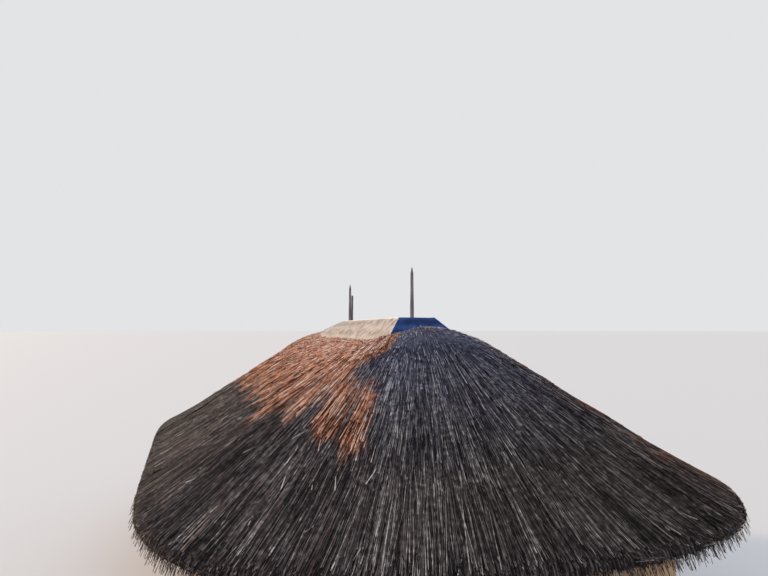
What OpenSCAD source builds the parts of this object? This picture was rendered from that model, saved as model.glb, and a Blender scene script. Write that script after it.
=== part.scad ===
// Oblong thatched hut with rounded ends: plastered wall on a stone footing, two tall centre
// posts that stand up through the ridge, pole rafters, laths, a thick grass coat and a folded
// sheet cap. Millimetres, +Z up, ground at z = 0, ridge along X, doorway in the +Y side.

/* [Plan] */
// Distance between the two centre posts
post_span = 3950; // [3200:50:5500]
// Wall's outer face at the middle of a rounded end, from the centre post
wall_end_r = 3500; // [3000:50:4200]
// Wall's outer face at a straight side, from the ridge line
wall_side_r = 3350; // [2900:50:4000]
// Extra fullness of the rounded corners, as a share of the radius
corner_full = 0.115; // [0:0.005:0.15]
// Reach of the thatch past the wall's outer face
eave_out = 800; // [600:25:1100]

/* [Wall] */
// Thickness of the plastered wall
wall_t = 250; // [180:10:350]
// Height of the footing and of the floor inside it
footing_h = 200; // [100:10:450]
// Projection of the footing past each wall face
footing_out = 60; // [20:5:120]

/* [Doorway] */
// Width of the doorway between the wall ends
door_w = 1050; // [900:10:1400]
// Height of the doorway above the floor
door_h = 1930; // [1800:10:2200]
// Depth of the door lintel
lintel_h = 110; // [80:5:150]
// Height of the wall over the door lintel
over_door_h = 70; // [40:5:400]
// Length of the lintel that bears on the wall at each end
lintel_bearing = 160; // [80:10:300]
// Width of a door post, seen from the front
post_face = 80; // [50:5:120]
// Height of the threshold
threshold_h = 40; // [20:5:60]

/* [Windows] */
// Width of a window opening
window_w = 900; // [600:10:1000]
// Height of a window opening
window_h = 750; // [500:10:850]
// Height of a window sill above the floor
sill_h = 950; // [800:10:1150]
// Face width of a window frame
frame_face = 60; // [40:5:90]
// Depth of the window and door frames through the wall
frame_d = 120; // [80:10:170]

/* [Centre posts] */
// Radius of a centre post at the floor
post_foot_r = 72; // [55:1:95]
// Radius of a centre post just below its point
post_tip_r = 25; // [18:1:35]
// Height of the post tops above the top of the cap
post_above = 845; // [500:5:1200]
// Length of the cut point at the post tops
point_l = 100; // [80:10:250]
// Radius of the blunt tip of a cut point
point_r = 6; // [1:1:8]
// Height of the short stake beside the far post above the cap
stake_above = 590; // [300:10:800]
// Radius of the short stake
stake_r = 21; // [14:1:30]

/* [Roof timbers] */
// Pitch of the rafters over the straight sides, in degrees
roof_pitch = 33.4; // [30:0.1:36]
// Width of the wall plate
plate_w = 120; // [80:5:160]
// Height of the wall plate
plate_h = 90; // [60:5:120]
// Depth that each rafter is let down over the plate
notch_d = 15; // [5:1:25]
// Diameter of a rafter pole
rafter_d = 90; // [70:2:92]
// Distance that the rafter tails stay back from the thatch's lower edge
tail_back = 80; // [40:10:150]
// Number of rafters over each straight side between the centre posts
side_rafters = 5; // [3:1:7]
// Side of a square lath
lath = 30; // [20:2:40]
// Number of lath rings
lath_rings = 8; // [5:1:10]
// Distance of the first lath from the centre posts and from the ridge between them
lath_in = 940; // [900:10:1100]
// Distance that the last lath stays back from the rafter tails
lath_back = 70; // [40:5:120]
// Diameter of the ridge beam
ridge_d = 110; // [90:5:130]
// Radius of the crown that the end rafters butt against
crown_r = 302; // [300:1:340]
// Height of a crown
crown_h = 180; // [150:5:220]
// Width of a tie beam
tie_w = 100; // [70:5:130]
// Height of a tie beam
tie_h = 130; // [90:5:140]

/* [Thatch] */
// Thickness of the thatch under its upper edge, measured upright, before the edge is cut back
eave_t = 385; // [250:5:500]
// Distance that the thatch's lower edge is cut back from its upper edge
edge_cut = 230; // [100:10:280]
// Thickness of the thatch at its shoulder, measured upright
shoulder_t = 354; // [280:2:450]
// Lift of the bell-cast edge above the straight slope
flare_lift = 70; // [0:5:150]
// Share of the slope that the bell-cast takes
flare_share = 0.22; // [0.1:0.01:0.4]
// Radius of the shoulder over the rounded ends
shoulder_end_r = 1030; // [950:10:1200]
// Radius of the shoulder over the straight sides
shoulder_side_r = 810; // [780:10:1000]
// Rise of the thatch crest above the shoulder at the ends
crest_rise = 56; // [20:1:80]
// Drop of the thatch crest below the shoulder at the sides
crest_drop = 171; // [80:1:180]
// Radius of the thatch crest
crest_r = 745; // [720:5:770]

/* [Ridge cap] */
// Half width of the cap's flat top at its near end
cap_top_w = 320; // [250:5:400]
// Half width of the cap's flat top at its far end
cap_top_far_w = 110; // [80:5:400]
// Reach of the cap's flat top past the centre posts
cap_top_e = 190; // [150:5:260]
// Half width of the cap at the hem of its long sides
cap_hem_w = 680; // [600:5:700]
// Reach of the hem past the centre posts
cap_hem_e = 600; // [580:5:640]
// Height of the cap's top above the thatch crest at the ends
cap_rise = 175; // [150:5:260]
// Depth of the hem below the thatch crest at the sides
hem_bury = 4; // [2:1:20]
// Height of the fold above the straight line from top edge to hem
cap_bulge = 8; // [0:1:40]
// Thickness of the cap sheet
sheet_t = 5; // [2:1:8]

/* [Hidden] */

// Clearance between curved or sloping pieces that seat on each other
gap = 0.3;
// Angle between the corners of the rounded ends, in degrees
step = 6;
// Angle between the sections of the thatch, in degrees, a half of the one above
coat_step = 3;
// Angle of one bay of the thatch on a rounded end, in degrees
bay_angle = 15;
// Angle between the rafters of a rounded end, in degrees
fan = 18;
// Half angle of the wall piece that holds an end window, in degrees
front_angle = 30;
// Depth of the rounding of the thatch edge
nose = 70;
// Least width of the flat crest beside the cap
crest_lip = 20;
// Depth of the upright hem below the cap's slopes
hem_h = 1;
// Number of flat spans that the cap's long sides turn in
cap_spans = 8;
post_x = post_span / 2;
wall_h = door_h + lintel_h + over_door_h;
wall_top = footing_h + wall_h;
plate_top = wall_top + plate_h;
// The rafters bear on the outer top edge of the plate
seat_in = wall_t / 2 - plate_w / 2;
slope_side = tan(roof_pitch);
seat_z = plate_top - notch_d;
apex_z = seat_z + slope_side * (wall_side_r - seat_in);
// Colours
plaster = "#b08d6a";
stone = "#8a8178";
screed = "#8d8478";
timber = "#6e5641";
weathered = "#8a7a6b";
lath_wood = "#7b6248";
grass = "#8a5f3c";
sheet = "#a08a72";

// Plan of the wall's outer face: distance from the centre post at an angle from the ridge
function reach(a) = (wall_end_r * pow(cos(a), 2) + wall_side_r * pow(sin(a), 2))
    * (1 + corner_full * pow(sin(2 * a), 2));
function seat_r(a) = reach(a) - seat_in;
function slope(a) = (apex_z - seat_z) / seat_r(a);
function edge_r(a) = reach(a) + eave_out;
function cut_r(a) = edge_r(a) - edge_cut;
function tail_r(a) = cut_r(a) - tail_back;
// Height of the rafters' lower side, axis and upper side, and of the thatch's lower side
function under_z(a, r) = apex_z - slope(a) * r;
function over_z(a, r, t) = under_z(a, r) + t / cos(atan(slope(a)));
function axis_z(a, r) = over_z(a, r, rafter_d / 2);
function soffit_z(a, r) = over_z(a, r, rafter_d + lath + 2 * gap);
function lath_r(a, k) = lath_in + (tail_r(a) - lath_back - lath_in) * k / (lath_rings - 1);

// Thatch: levels shared by every upright section
shoulder_z = soffit_z(90, shoulder_side_r) + shoulder_t;
edge_z = soffit_z(90, edge_r(90)) + eave_t;
crest_end_z = shoulder_z + crest_rise;
crest_side_z = shoulder_z - crest_drop;
cap_z = crest_end_z + cap_rise;
cap_hem_z = crest_side_z - hem_bury;
cap_depth = cap_z - cap_hem_z;
cap_fold_z = cap_z - cap_depth / 2 + cap_bulge;
post_top = cap_z + post_above;
stake_top = cap_z + stake_above;
function blend(a, at_end, at_side) = at_end * pow(cos(a), 2) + at_side * pow(sin(a), 2);
function shoulder_r(a) = blend(a, shoulder_end_r, shoulder_side_r);
function crest_z(a) = blend(a, crest_end_z, crest_side_z);
function coat_slope(a) = (shoulder_z - edge_z + flare_lift) / (edge_r(a) - shoulder_r(a));
function line_z(a, r) = shoulder_z - coat_slope(a) * (r - shoulder_r(a));
// Where the straight slope would meet the level of the crest
function turn_r(a) = shoulder_r(a) + (shoulder_z - crest_z(a)) / coat_slope(a);
function crest_in(a) = max(crest_r, well_r(a, crest_z(a)) + crest_lip);
function bend_r(a) = 2 * turn_r(a) - crest_in(a);
function curve(p, q, s, t) = (1 - t) * (1 - t) * p + 2 * t * (1 - t) * q + t * t * s;
function crest_point(a, t) = [curve(crest_in(a), turn_r(a), bend_r(a), t),
    curve(crest_z(a), crest_z(a), line_z(a, bend_r(a)), t)];
function slope_point(a, t) = let (r = bend_r(a) + (edge_r(a) - nose - bend_r(a)) * t,
    f = max(0, (t - 1 + flare_share) / flare_share)) [r, line_z(a, r) + flare_lift * f * f];

// Outside of the cap at a height between its fold and its hem, past the post and from the ridge
cap_mid_w = (cap_top_w + cap_hem_w) / 2;
cap_mid_e = (cap_top_e + cap_hem_e) / 2;
function hem_share(z) = (cap_fold_z - z) / (cap_fold_z - cap_hem_z);
function cap_e(z) = cap_mid_e + (cap_hem_e - cap_mid_e) * hem_share(z) + gap;
function cap_w(z) = cap_mid_w + (cap_hem_w - cap_mid_w) * hem_share(z) + gap;
corner_a = atan(cap_w(cap_hem_z) / cap_e(cap_hem_z));
// The thatch's well follows the cap, with a section at the cap's own corner
function well_point(a, z) = a == corner_a ? [cap_e(z), cap_w(z), z]
    : a < corner_a ? [cap_e(z), cap_e(z) * tan(a), z]
    : [cap_w(z) / tan(a), cap_w(z), z];
function well_r(a, z) = norm([well_point(a, z)[0], well_point(a, z)[1]]);
corner_step = coat_step * round(corner_a / coat_step);
coat_angles = [for (a = [0:coat_step:90]) a == corner_step ? corner_a : a];

// Stands an outline of [distance out, height] upright at an angle round the post
function turned(a, outline) = [for (p = outline) [p[0] * cos(a), p[0] * sin(a), p[1]]];
// One upright section of the thatch, from the well under the cap down to the edge and back
function coat_outline(a) = concat(
    [for (t = [0:0.25:1]) crest_point(a, t)],
    [for (t = [0.4, 0.78, 0.86, 0.93, 1]) slope_point(a, t)],
    [[edge_r(a) - nose / 4, edge_z - nose / 4],
     [edge_r(a), edge_z - nose],
     [cut_r(a) + nose / 2, soffit_z(a, cut_r(a)) + nose / 3],
     [cut_r(a) - nose / 2, soffit_z(a, cut_r(a) - nose / 2)],
     [well_r(a, cap_hem_z), soffit_z(a, well_r(a, cap_hem_z))]]);
function coat_section(a) = concat(turned(a, coat_outline(a)),
    [well_point(a, cap_hem_z), well_point(a, crest_z(a))]);

// Joins equal outlines of points in space, one after the other, into a closed solid
module swept(sections) {
    n = len(sections[0]);
    m = len(sections);
    sides = [for (i = [0:m - 2]) for (j = [0:n - 1]) let (k = (j + 1) % n)
        for (f = [[i * n + j, (i + 1) * n + k, i * n + k],
            [i * n + j, (i + 1) * n + j, (i + 1) * n + k]]) f];
    first = [for (j = [0:n - 1]) j];
    last = [for (j = [n - 1:-1:0]) (m - 1) * n + j];
    polyhedron([for (section = sections) for (p = section) p], concat(sides, [first], [last]));
}

// Places a piece of the near end round its post, or mirrors it to the far end
module near_end() {
    translate([post_x, 0, 0]) children();
}
module far_end() {
    mirror([1, 0, 0]) near_end() children();
}
module left_side() {
    mirror([0, 1, 0]) children();
}

// Part of the plan between two angles, as a band that lies so far in from the wall's face
function arc_points(a0, a1, inset) = [for (a = [a0:step:a1])
    [(reach(a) - inset) * cos(a), (reach(a) - inset) * sin(a)]];
function reversed(list) = [for (i = [len(list) - 1:-1:0]) list[i]];
module end_band(a0, a1, inset, depth, z, h) {
    translate([0, 0, z]) linear_extrude(h)
        polygon(concat(arc_points(a0, a1, inset), reversed(arc_points(a0, a1, inset + depth))));
}
module plan(inset) {
    half = [for (p = arc_points(-90, 90, inset)) [p[0] + post_x, p[1]]];
    polygon(concat(half, [for (p = half) [-p[0], -p[1]]]));
}
module side_band(x0, x1, inset, depth, z, h) {
    translate([x0, wall_side_r - inset - depth, z]) cube([x1 - x0, depth, h]);
}

// Footing and floor
module footing() {
    color(stone) linear_extrude(footing_h) difference() {
        plan(-footing_out);
        plan(wall_t + footing_out);
    }
}
module floor_slab() {
    color(screed) linear_extrude(footing_h) plan(wall_t + footing_out);
}

// Wall
module end_wall(a0, a1) {
    end_band(a0, a1, 0, wall_t, footing_h, wall_h);
}
module window_hole() {
    translate([-wall_t, -window_w / 2, footing_h + sill_h]) cube([3 * wall_t, window_w, window_h]);
}
module end_front_wall() {
    difference() {
        end_wall(-front_angle, front_angle);
        translate([wall_end_r - wall_t, 0, 0]) window_hole();
    }
}
module near_wall_left() {
    color(plaster) near_end() left_side() end_wall(front_angle, 90);
}
module near_wall_front() {
    color(plaster) near_end() end_front_wall();
}
module near_wall_right() {
    color(plaster) near_end() end_wall(front_angle, 90);
}
module far_wall_left() {
    color(plaster) far_end() left_side() end_wall(front_angle, 90);
}
module far_wall_back() {
    color(plaster) far_end() end_front_wall();
}
module far_wall_right() {
    color(plaster) far_end() end_wall(front_angle, 90);
}
module left_wall() {
    color(plaster) left_side() difference() {
        side_band(-post_x, post_x, 0, wall_t, footing_h, wall_h);
        translate([0, wall_side_r - wall_t, 0]) rotate([0, 0, 90]) window_hole();
    }
}
module lintel_space(grow) {
    side_band(-door_w / 2 - lintel_bearing - grow, door_w / 2 + lintel_bearing + grow,
        -grow, wall_t + 2 * grow, footing_h + door_h - grow, lintel_h + 2 * grow);
}
module wall_beside_door() {
    difference() {
        side_band(door_w / 2, post_x, 0, wall_t, footing_h, wall_h);
        lintel_space(gap);
    }
}
module right_wall_near() {
    color(plaster) wall_beside_door();
}
module right_wall_far() {
    color(plaster) mirror([1, 0, 0]) wall_beside_door();
}
module wall_over_door() {
    z = footing_h + door_h + lintel_h + gap;
    color(plaster) side_band(-door_w / 2, door_w / 2, 0, wall_t, z, wall_top - z);
}

// Doorway
frame_in = (wall_t - frame_d) / 2;
module door_posts() {
    z = footing_h + threshold_h;
    color(timber) for (s = [0, 1]) mirror([s, 0, 0])
        side_band(door_w / 2 - post_face, door_w / 2 - gap, frame_in, frame_d, z,
            door_h - threshold_h - gap);
}
module door_lintel() {
    color(timber) lintel_space(0);
}
module door_threshold() {
    color(timber) side_band(-door_w / 2 + gap, door_w / 2 - gap, 0, wall_t, footing_h, threshold_h);
}

// Windows
module window_frame() {
    translate([frame_in, 0, footing_h + sill_h + window_h / 2]) difference() {
        translate([0, -window_w / 2 + gap, -window_h / 2 + gap])
            cube([frame_d, window_w - 2 * gap, window_h - 2 * gap]);
        translate([-1, -window_w / 2 + frame_face, -window_h / 2 + frame_face])
            cube([frame_d + 2, window_w - 2 * frame_face, window_h - 2 * frame_face]);
    }
}
module near_window_frame() {
    color(timber) near_end() translate([wall_end_r - wall_t, 0, 0]) window_frame();
}
module far_window_frame() {
    color(timber) far_end() translate([wall_end_r - wall_t, 0, 0]) window_frame();
}
module left_window_frame() {
    color(timber) left_side() translate([0, wall_side_r - wall_t, 0]) rotate([0, 0, 90]) window_frame();
}

// Timbers on the wall
module wall_plate() {
    color(timber) translate([0, 0, wall_top]) linear_extrude(plate_h) difference() {
        plan(seat_in);
        plan(seat_in + plate_w);
    }
}
module tie_beams() {
    inner = wall_side_r - seat_in - plate_w - gap;
    x = post_x - post_foot_r - tie_w / 2;
    color(timber) for (s = [-1, 0, 1])
        translate([s * x - tie_w / 2, -inner, wall_top])
            cube([tie_w, 2 * inner, tie_h]);
}

// Centre posts, pointed at the top, and the stake that stands on the far crown beside its post
ridge_axis_z = axis_z(90, ridge_d / 2);
crown_top = ridge_axis_z - ridge_d / 2;
function post_r(z) = post_foot_r + (post_tip_r - post_foot_r) * (z - footing_h)
    / (post_top - point_l - footing_h);
module post_solid(grow) {
    shoulder = post_top - point_l;
    translate([0, 0, footing_h]) cylinder(h = shoulder - footing_h, r1 = post_foot_r + grow,
        r2 = post_tip_r + grow, $fn = 48);
    translate([0, 0, shoulder]) cylinder(h = point_l, r1 = post_tip_r + grow,
        r2 = point_r + grow, $fn = 48);
}
module near_centre_post() {
    color(weathered) near_end() post_solid(0);
}
module far_centre_post() {
    color(weathered) far_end() post_solid(0);
}
stake_x = -post_x;
stake_foot = crown_top + gap;
stake_y = post_r(stake_foot) + stake_r + 2 * gap;
module stake_solid(grow) {
    translate([stake_x, stake_y, stake_foot])
        cylinder(h = stake_top - stake_foot, r = stake_r + grow, $fn = 32);
}
module far_stake() {
    color(weathered) stake_solid(0);
}

// Ridge beam, laid on the two crowns between the posts
module ridge_beam() {
    l = post_span - 2 * (post_r(crown_top) + gap);
    color(timber) translate([-l / 2, 0, ridge_axis_z]) rotate([0, 90, 0])
        cylinder(h = l, d = ridge_d, $fn = 48);
}
module crown() {
    difference() {
        translate([0, 0, crown_top - crown_h]) cylinder(h = crown_h, r = crown_r, $fn = 72);
        post_solid(gap);
    }
}
module crowns() {
    color(timber) near_end() crown();
    color(timber) far_end() crown();
}

// A rafter that runs out over the plate at an angle from the ridge, starting so far out
module rafter(a, r_in) {
    pitch = atan(slope(a));
    tail = tail_r(a);
    seat = seat_r(a);
    rotate([0, 0, a]) difference() {
        translate([0, 0, axis_z(a, 0)]) rotate([0, 90 + pitch, 0])
            cylinder(h = (tail + rafter_d) / cos(pitch), d = rafter_d, $fn = 24);
        translate([-rafter_d, -rafter_d, apex_z - tail]) cube([r_in + rafter_d, 2 * rafter_d, 2 * tail]);
        translate([tail, -rafter_d, under_z(a, tail) - tail]) cube([2 * rafter_d, 2 * rafter_d, 2 * tail]);
        translate([seat - plate_w - rafter_d, -rafter_d, plate_top + gap - 2 * rafter_d])
            cube([plate_w + rafter_d + gap, 2 * rafter_d, 2 * rafter_d]);
    }
}
module fan_rafters() {
    difference() {
        for (a = [-90:fan:90]) rafter(a, crown_r - rafter_d / 2);
        translate([0, 0, crown_top - 2 * crown_h]) cylinder(h = 4 * crown_h, r = crown_r + gap, $fn = 72);
    }
}
module near_rafters() {
    color(timber) near_end() fan_rafters();
}
module far_rafters() {
    color(timber) far_end() fan_rafters();
}
module straight_rafters() {
    bay = post_span / (side_rafters + 1);
    for (i = [1:side_rafters]) translate([i * bay - post_x, 0, 0]) rafter(90, ridge_d / 2 + gap);
}
module left_rafters() {
    color(timber) left_side() straight_rafters();
}
module right_rafters() {
    color(timber) straight_rafters();
}

// Laths across the rafters, square to the slope
function lath_section(a, k) = let (p = atan(slope(a)), r = lath_r(a, k), b = rafter_d / 2 + gap + lath / 2,
        c = [r + b * sin(p), axis_z(a, r) + b * cos(p)], u = [cos(p), -sin(p)] * lath / 2,
        v = [sin(p), cos(p)] * lath / 2) [c - u - v, c - u + v, c + u + v, c + u - v];
module end_lath_set() {
    angles = [for (a = [-90:step:90]) a];
    for (k = [0:lath_rings - 1]) swept([for (a = angles) turned(a, lath_section(a, k))]);
}
module end_laths() {
    color(lath_wood) near_end() end_lath_set();
    color(lath_wood) far_end() end_lath_set();
}
module side_lath_set() {
    for (k = [0:lath_rings - 1])
        translate([post_x, 0, 0]) rotate([90, 0, -90]) linear_extrude(post_span)
            polygon([for (p = lath_section(90, k)) [-p[0], p[1]]]);
}
module side_laths() {
    color(lath_wood) side_lath_set();
    color(lath_wood) left_side() side_lath_set();
}

// Ridge cap: a hipped shell of sheet, folded once on each slope
// Half outline of the cap as [distance out, height]
function cap_half(top, mid, hem) = [[hem, cap_hem_z - hem_h], [hem, cap_hem_z], [mid, cap_fold_z],
    [top, cap_z]];
function both_halves(h) = concat(h, reversed([for (p = h) [-p[0], p[1]]]));
cap_top_x = post_x + cap_top_e;
// Cross section of the cap at a place along the ridge, where its top has its own width
function cap_section(x) = let (t = max(0, min(1, (x / cap_top_x + 1) / 2)),
        top = cap_top_far_w + (cap_top_w - cap_top_far_w) * t)
    [for (p = both_halves(cap_half(top, cap_mid_w, cap_hem_w))) [x, p[0], p[1]]];
module cap_volume() {
    e = [for (p = cap_half(cap_top_e, cap_mid_e, cap_hem_e)) [p[0] + post_x, p[1]]];
    places = concat(-post_span, [for (i = [0:cap_spans]) cap_top_x * (2 * i / cap_spans - 1)], post_span);
    intersection() {
        swept([for (x = places) cap_section(x)]);
        translate([0, 2 * cap_hem_w, 0]) rotate([90, 0, 0]) linear_extrude(4 * cap_hem_w)
            polygon(both_halves(e));
    }
}
module cap_sheet() {
    difference() {
        cap_volume();
        translate([0, 0, -sheet_t]) cap_volume();
        for (s = [-1, 1]) translate([s * post_x, 0, 0]) post_solid(gap);
        stake_solid(gap);
    }
}
// Plan of a hip, from the top's corner over the fold to the hem
function hip(side, top_w) = [[side * cap_top_x, top_w], [side * (post_x + cap_mid_e), cap_mid_w],
    [side * (post_x + cap_hem_e), cap_hem_w]];
far_hip = hip(-1, cap_top_far_w);
near_hip = hip(1, cap_top_w);
function flipped(line) = [for (p = line) [p[0], -p[1]]];
module cap_part(outline) {
    color(sheet) intersection() {
        cap_sheet();
        linear_extrude(2 * cap_z) polygon(outline);
    }
}
module cap_top() {
    corners = [far_hip[0], near_hip[0]];
    cap_part(concat(corners, reversed(flipped(corners))));
}
module cap_right() {
    cap_part(concat(far_hip, reversed(near_hip)));
}
module cap_left() {
    left_side() cap_right();
}
module cap_near() {
    cap_part(concat(near_hip, reversed(flipped(near_hip))));
}
module cap_far() {
    cap_part(concat(far_hip, reversed(flipped(far_hip))));
}

// Thatch: quarters over the rounded ends, laid in bays, and straight coats over the sides
function aside(a, section, s) = [for (p = section) p + s * [-sin(a), cos(a), 0]];
module coat_bay(angles) {
    n = len(angles) - 1;
    swept([for (j = [0:n]) aside(angles[j], coat_section(angles[j]),
        j == 0 && angles[j] > 0 ? gap / 2 : j == n && angles[j] < 90 ? -gap / 2 : 0)]);
}
module coat_quarter() {
    n = bay_angle / coat_step;
    color(grass) near_end() for (i = [0:90 / bay_angle - 1])
        coat_bay([for (j = [0:n]) coat_angles[i * n + j]]);
}
module coat_side() {
    color(grass) translate([post_x, 0, 0]) rotate([90, 0, -90]) linear_extrude(post_span)
        polygon([for (p = coat_section(90)) [-p[1], p[2]]]);
}
module near_right_thatch() {
    coat_quarter();
}
module near_left_thatch() {
    left_side() coat_quarter();
}
module far_right_thatch() {
    mirror([1, 0, 0]) coat_quarter();
}
module far_left_thatch() {
    mirror([1, 0, 0]) left_side() coat_quarter();
}
module right_thatch() {
    coat_side();
}
module left_thatch() {
    left_side() coat_side();
}

footing();
floor_slab();
near_wall_left();
near_wall_front();
near_wall_right();
far_wall_left();
far_wall_back();
far_wall_right();
left_wall();
right_wall_near();
right_wall_far();
wall_over_door();
door_posts();
door_lintel();
door_threshold();
near_window_frame();
far_window_frame();
left_window_frame();
wall_plate();
tie_beams();
near_centre_post();
far_centre_post();
far_stake();
ridge_beam();
crowns();
near_rafters();
far_rafters();
left_rafters();
right_rafters();
end_laths();
side_laths();
near_left_thatch();
near_right_thatch();
far_left_thatch();
far_right_thatch();
left_thatch();
right_thatch();
cap_top();
cap_left();
cap_right();
cap_near();
cap_far();
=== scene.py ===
"""Looks of the oblong thatched hut: grass coat, ridge cap, posts, plaster, footing and roof timbers.

Metres, in the frame of the solids: +Z up, ground at z = 0, the ridge along X and the doorway in the +Y
side. Every main piece starts from the solid that it stands for, so it stays where that solid is.
"""
import logging
import math
from dataclasses import dataclass, field, fields, replace
from enum import Enum
from functools import partial
from itertools import count
from typing import Any, Callable, Sequence

import bmesh
import bpy
import numpy as np
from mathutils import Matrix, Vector, noise


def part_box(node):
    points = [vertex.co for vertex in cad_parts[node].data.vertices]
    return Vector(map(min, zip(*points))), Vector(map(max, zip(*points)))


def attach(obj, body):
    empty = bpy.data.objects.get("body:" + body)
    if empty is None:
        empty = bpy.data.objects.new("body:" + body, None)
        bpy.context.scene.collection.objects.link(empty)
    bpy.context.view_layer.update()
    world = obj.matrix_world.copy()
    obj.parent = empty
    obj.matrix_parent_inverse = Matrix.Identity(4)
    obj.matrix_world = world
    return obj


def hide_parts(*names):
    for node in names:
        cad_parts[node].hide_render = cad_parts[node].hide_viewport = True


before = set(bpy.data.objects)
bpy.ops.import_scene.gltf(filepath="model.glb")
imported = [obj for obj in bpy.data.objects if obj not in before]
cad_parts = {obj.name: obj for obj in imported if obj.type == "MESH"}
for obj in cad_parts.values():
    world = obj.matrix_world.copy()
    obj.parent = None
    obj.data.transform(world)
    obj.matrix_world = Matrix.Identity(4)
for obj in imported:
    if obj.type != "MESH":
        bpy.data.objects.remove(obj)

Mesh, Tree, Socket = bpy.types.Mesh, bpy.types.NodeTree, bpy.types.NodeSocket
EditMesh, Adder, Array = bmesh.types.BMesh, Callable[..., Any], np.ndarray
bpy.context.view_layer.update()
ALONG, ACROSS, UP = Vector((1, 0, 0)), Vector((0, 1, 0)), Vector((0, 0, 1))
# An edge that turns by more than this is an arris, which wear or the hand rounds off
ARRIS_TURN = math.radians(40.0)
# Corners of a solid closer than this are one, and faces that turn by less than this are one
SAME_PLACE, SAME_PLANE = 2e-5, math.radians(0.4)
log = logging.getLogger("hut")


class Kind(Enum):
    """Kinds of node in frequent use: name, settings, inputs in their order, and the output to give."""

    ATTRIBUTE = ("ShaderNodeAttribute", {}, (), "Fac")
    PLACE = ("ShaderNodeTexCoord", {}, (), "Object")
    NOISE = ("ShaderNodeTexNoise", {}, ("Vector", "Scale", "Detail", "Roughness", "Distortion"), 0)
    RAMP = ("ShaderNodeValToRGB", {}, (0,), 0)
    RANGE = ("ShaderNodeMapRange", {}, (0, 1, 2, 3, 4), 0)
    BUMP = ("ShaderNodeBump", {}, ("Height", "Strength", "Distance"), 0)
    PART = ("ShaderNodeSeparateXYZ", {}, (0,), "Z")
    JOIN = ("ShaderNodeCombineXYZ", {}, (0, 1, 2), 0)
    BLEND = ("ShaderNodeMix", {"data_type": "RGBA"}, (0, 6, 7), 2)
    BETWEEN = ("ShaderNodeMix", {"data_type": "VECTOR"}, (0, 4, 5), 1)
    ADD = ("ShaderNodeMath", {"operation": "ADD"}, (0, 1), 0)
    TAKE = ("ShaderNodeMath", {"operation": "SUBTRACT"}, (0, 1), 0)
    TIMES = ("ShaderNodeMath", {"operation": "MULTIPLY"}, (0, 1), 0)
    TIMES_ADD = ("ShaderNodeMath", {"operation": "MULTIPLY_ADD"}, (0, 1, 2), 0)
    LEAST = ("ShaderNodeMath", {"operation": "MINIMUM"}, (0, 1), 0)
    MOST = ("ShaderNodeMath", {"operation": "MAXIMUM"}, (0, 1), 0)
    SINE = ("ShaderNodeMath", {"operation": "SINE"}, (0,), 0)
    COSINE = ("ShaderNodeMath", {"operation": "COSINE"}, (0,), 0)
    SHIFT = ("ShaderNodeVectorMath", {"operation": "ADD"}, (0, 1), 0)
    FROM = ("ShaderNodeVectorMath", {"operation": "SUBTRACT"}, (0, 1), 0)
    STRETCH = ("ShaderNodeVectorMath", {"operation": "MULTIPLY"}, (0, 1), 0)
    SCALE = ("ShaderNodeVectorMath", {"operation": "SCALE"}, (0, 3), 0)
    UNIT = ("ShaderNodeVectorMath", {"operation": "NORMALIZE"}, (0,), 0)
    SQUARE_TO = ("ShaderNodeVectorMath", {"operation": "CROSS_PRODUCT"}, (0, 1), 0)
    DOT = ("ShaderNodeVectorMath", {"operation": "DOT_PRODUCT"}, (0, 1), "Value")
    LENGTH = ("ShaderNodeVectorMath", {"operation": "LENGTH"}, (0,), "Value")
    HERE = ("GeometryNodeInputPosition", {}, (), 0)
    NUMBER = ("GeometryNodeInputNamedAttribute", {"data_type": "FLOAT"}, ("Name",), 0)
    VECTOR = ("GeometryNodeInputNamedAttribute", {"data_type": "FLOAT_VECTOR"}, ("Name",), 0)
    STORE = ("GeometryNodeStoreNamedAttribute", {"data_type": "FLOAT"}, ("Geometry", "Name", "Value"), 0)
    MOVE = ("GeometryNodeSetPosition", {}, ("Geometry", "Offset"), 0)
    TURN = ("FunctionNodeAxesToRotation", {}, ("Primary Axis", "Secondary Axis"), 0)


def to_linear(code: str) -> tuple[float, float, float, float]:
    """Turns an sRGB hex colour, written as "#rrggbb", into linear RGBA."""
    parts = [int(code[i:i + 2], 16) / 255 for i in (1, 3, 5)]
    return (*[p / 12.92 if p <= 0.04045 else ((p + 0.055) / 1.055) ** 2.4 for p in parts], 1.0)


def add_node(tree: Tree, kind: Kind | str, *values: Any, out: Any = None,
             stops: Sequence[tuple[float, str]] = (), **settings: Any) -> Socket | None:
    """Adds a node to a tree with its settings, values and links.

    Args:
        tree: Shader or geometry node tree.
        kind: A kind in frequent use, or Blender's name of another one.
        values: What the inputs get in their order: a value, a hex colour, an output to link from, or a
            list of outputs for an input that takes many. A dict at the end goes by name or number.
        out: Name or number of the output to give back, if it isn't the kind's own.
        stops: Places and hex colours of a colour ramp.
        settings: The node's own properties.

    Returns:
        The chosen output, or None for a node that has none.
    """
    name, usual, keys, own_out = kind.value if isinstance(kind, Kind) else (kind, {}, count(), 0)
    node = tree.nodes.new(name)
    for setting, value in {**usual, **settings}.items():
        setattr(node, setting, value)
    if stops:
        ramp = node.color_ramp.elements
        while len(ramp) < len(stops):
            ramp.new(0.5)
        for element, (place, code) in zip(ramp, stops):
            element.position, element.color = place, to_linear(code)
    *plain, named = values if values and isinstance(values[-1], dict) else (*values, {})
    for key, value in {**dict(zip(keys, plain)), **named}.items():
        for item in value if isinstance(value, list) else [value]:
            if isinstance(item, Socket):
                tree.links.new(item, node.inputs[key])
            else:
                is_colour = isinstance(item, str) and item.startswith("#")
                node.inputs[key].default_value = to_linear(item) if is_colour else item
    return node.outputs[own_out if out is None else out] if len(node.outputs) else None


# Finishes

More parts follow.
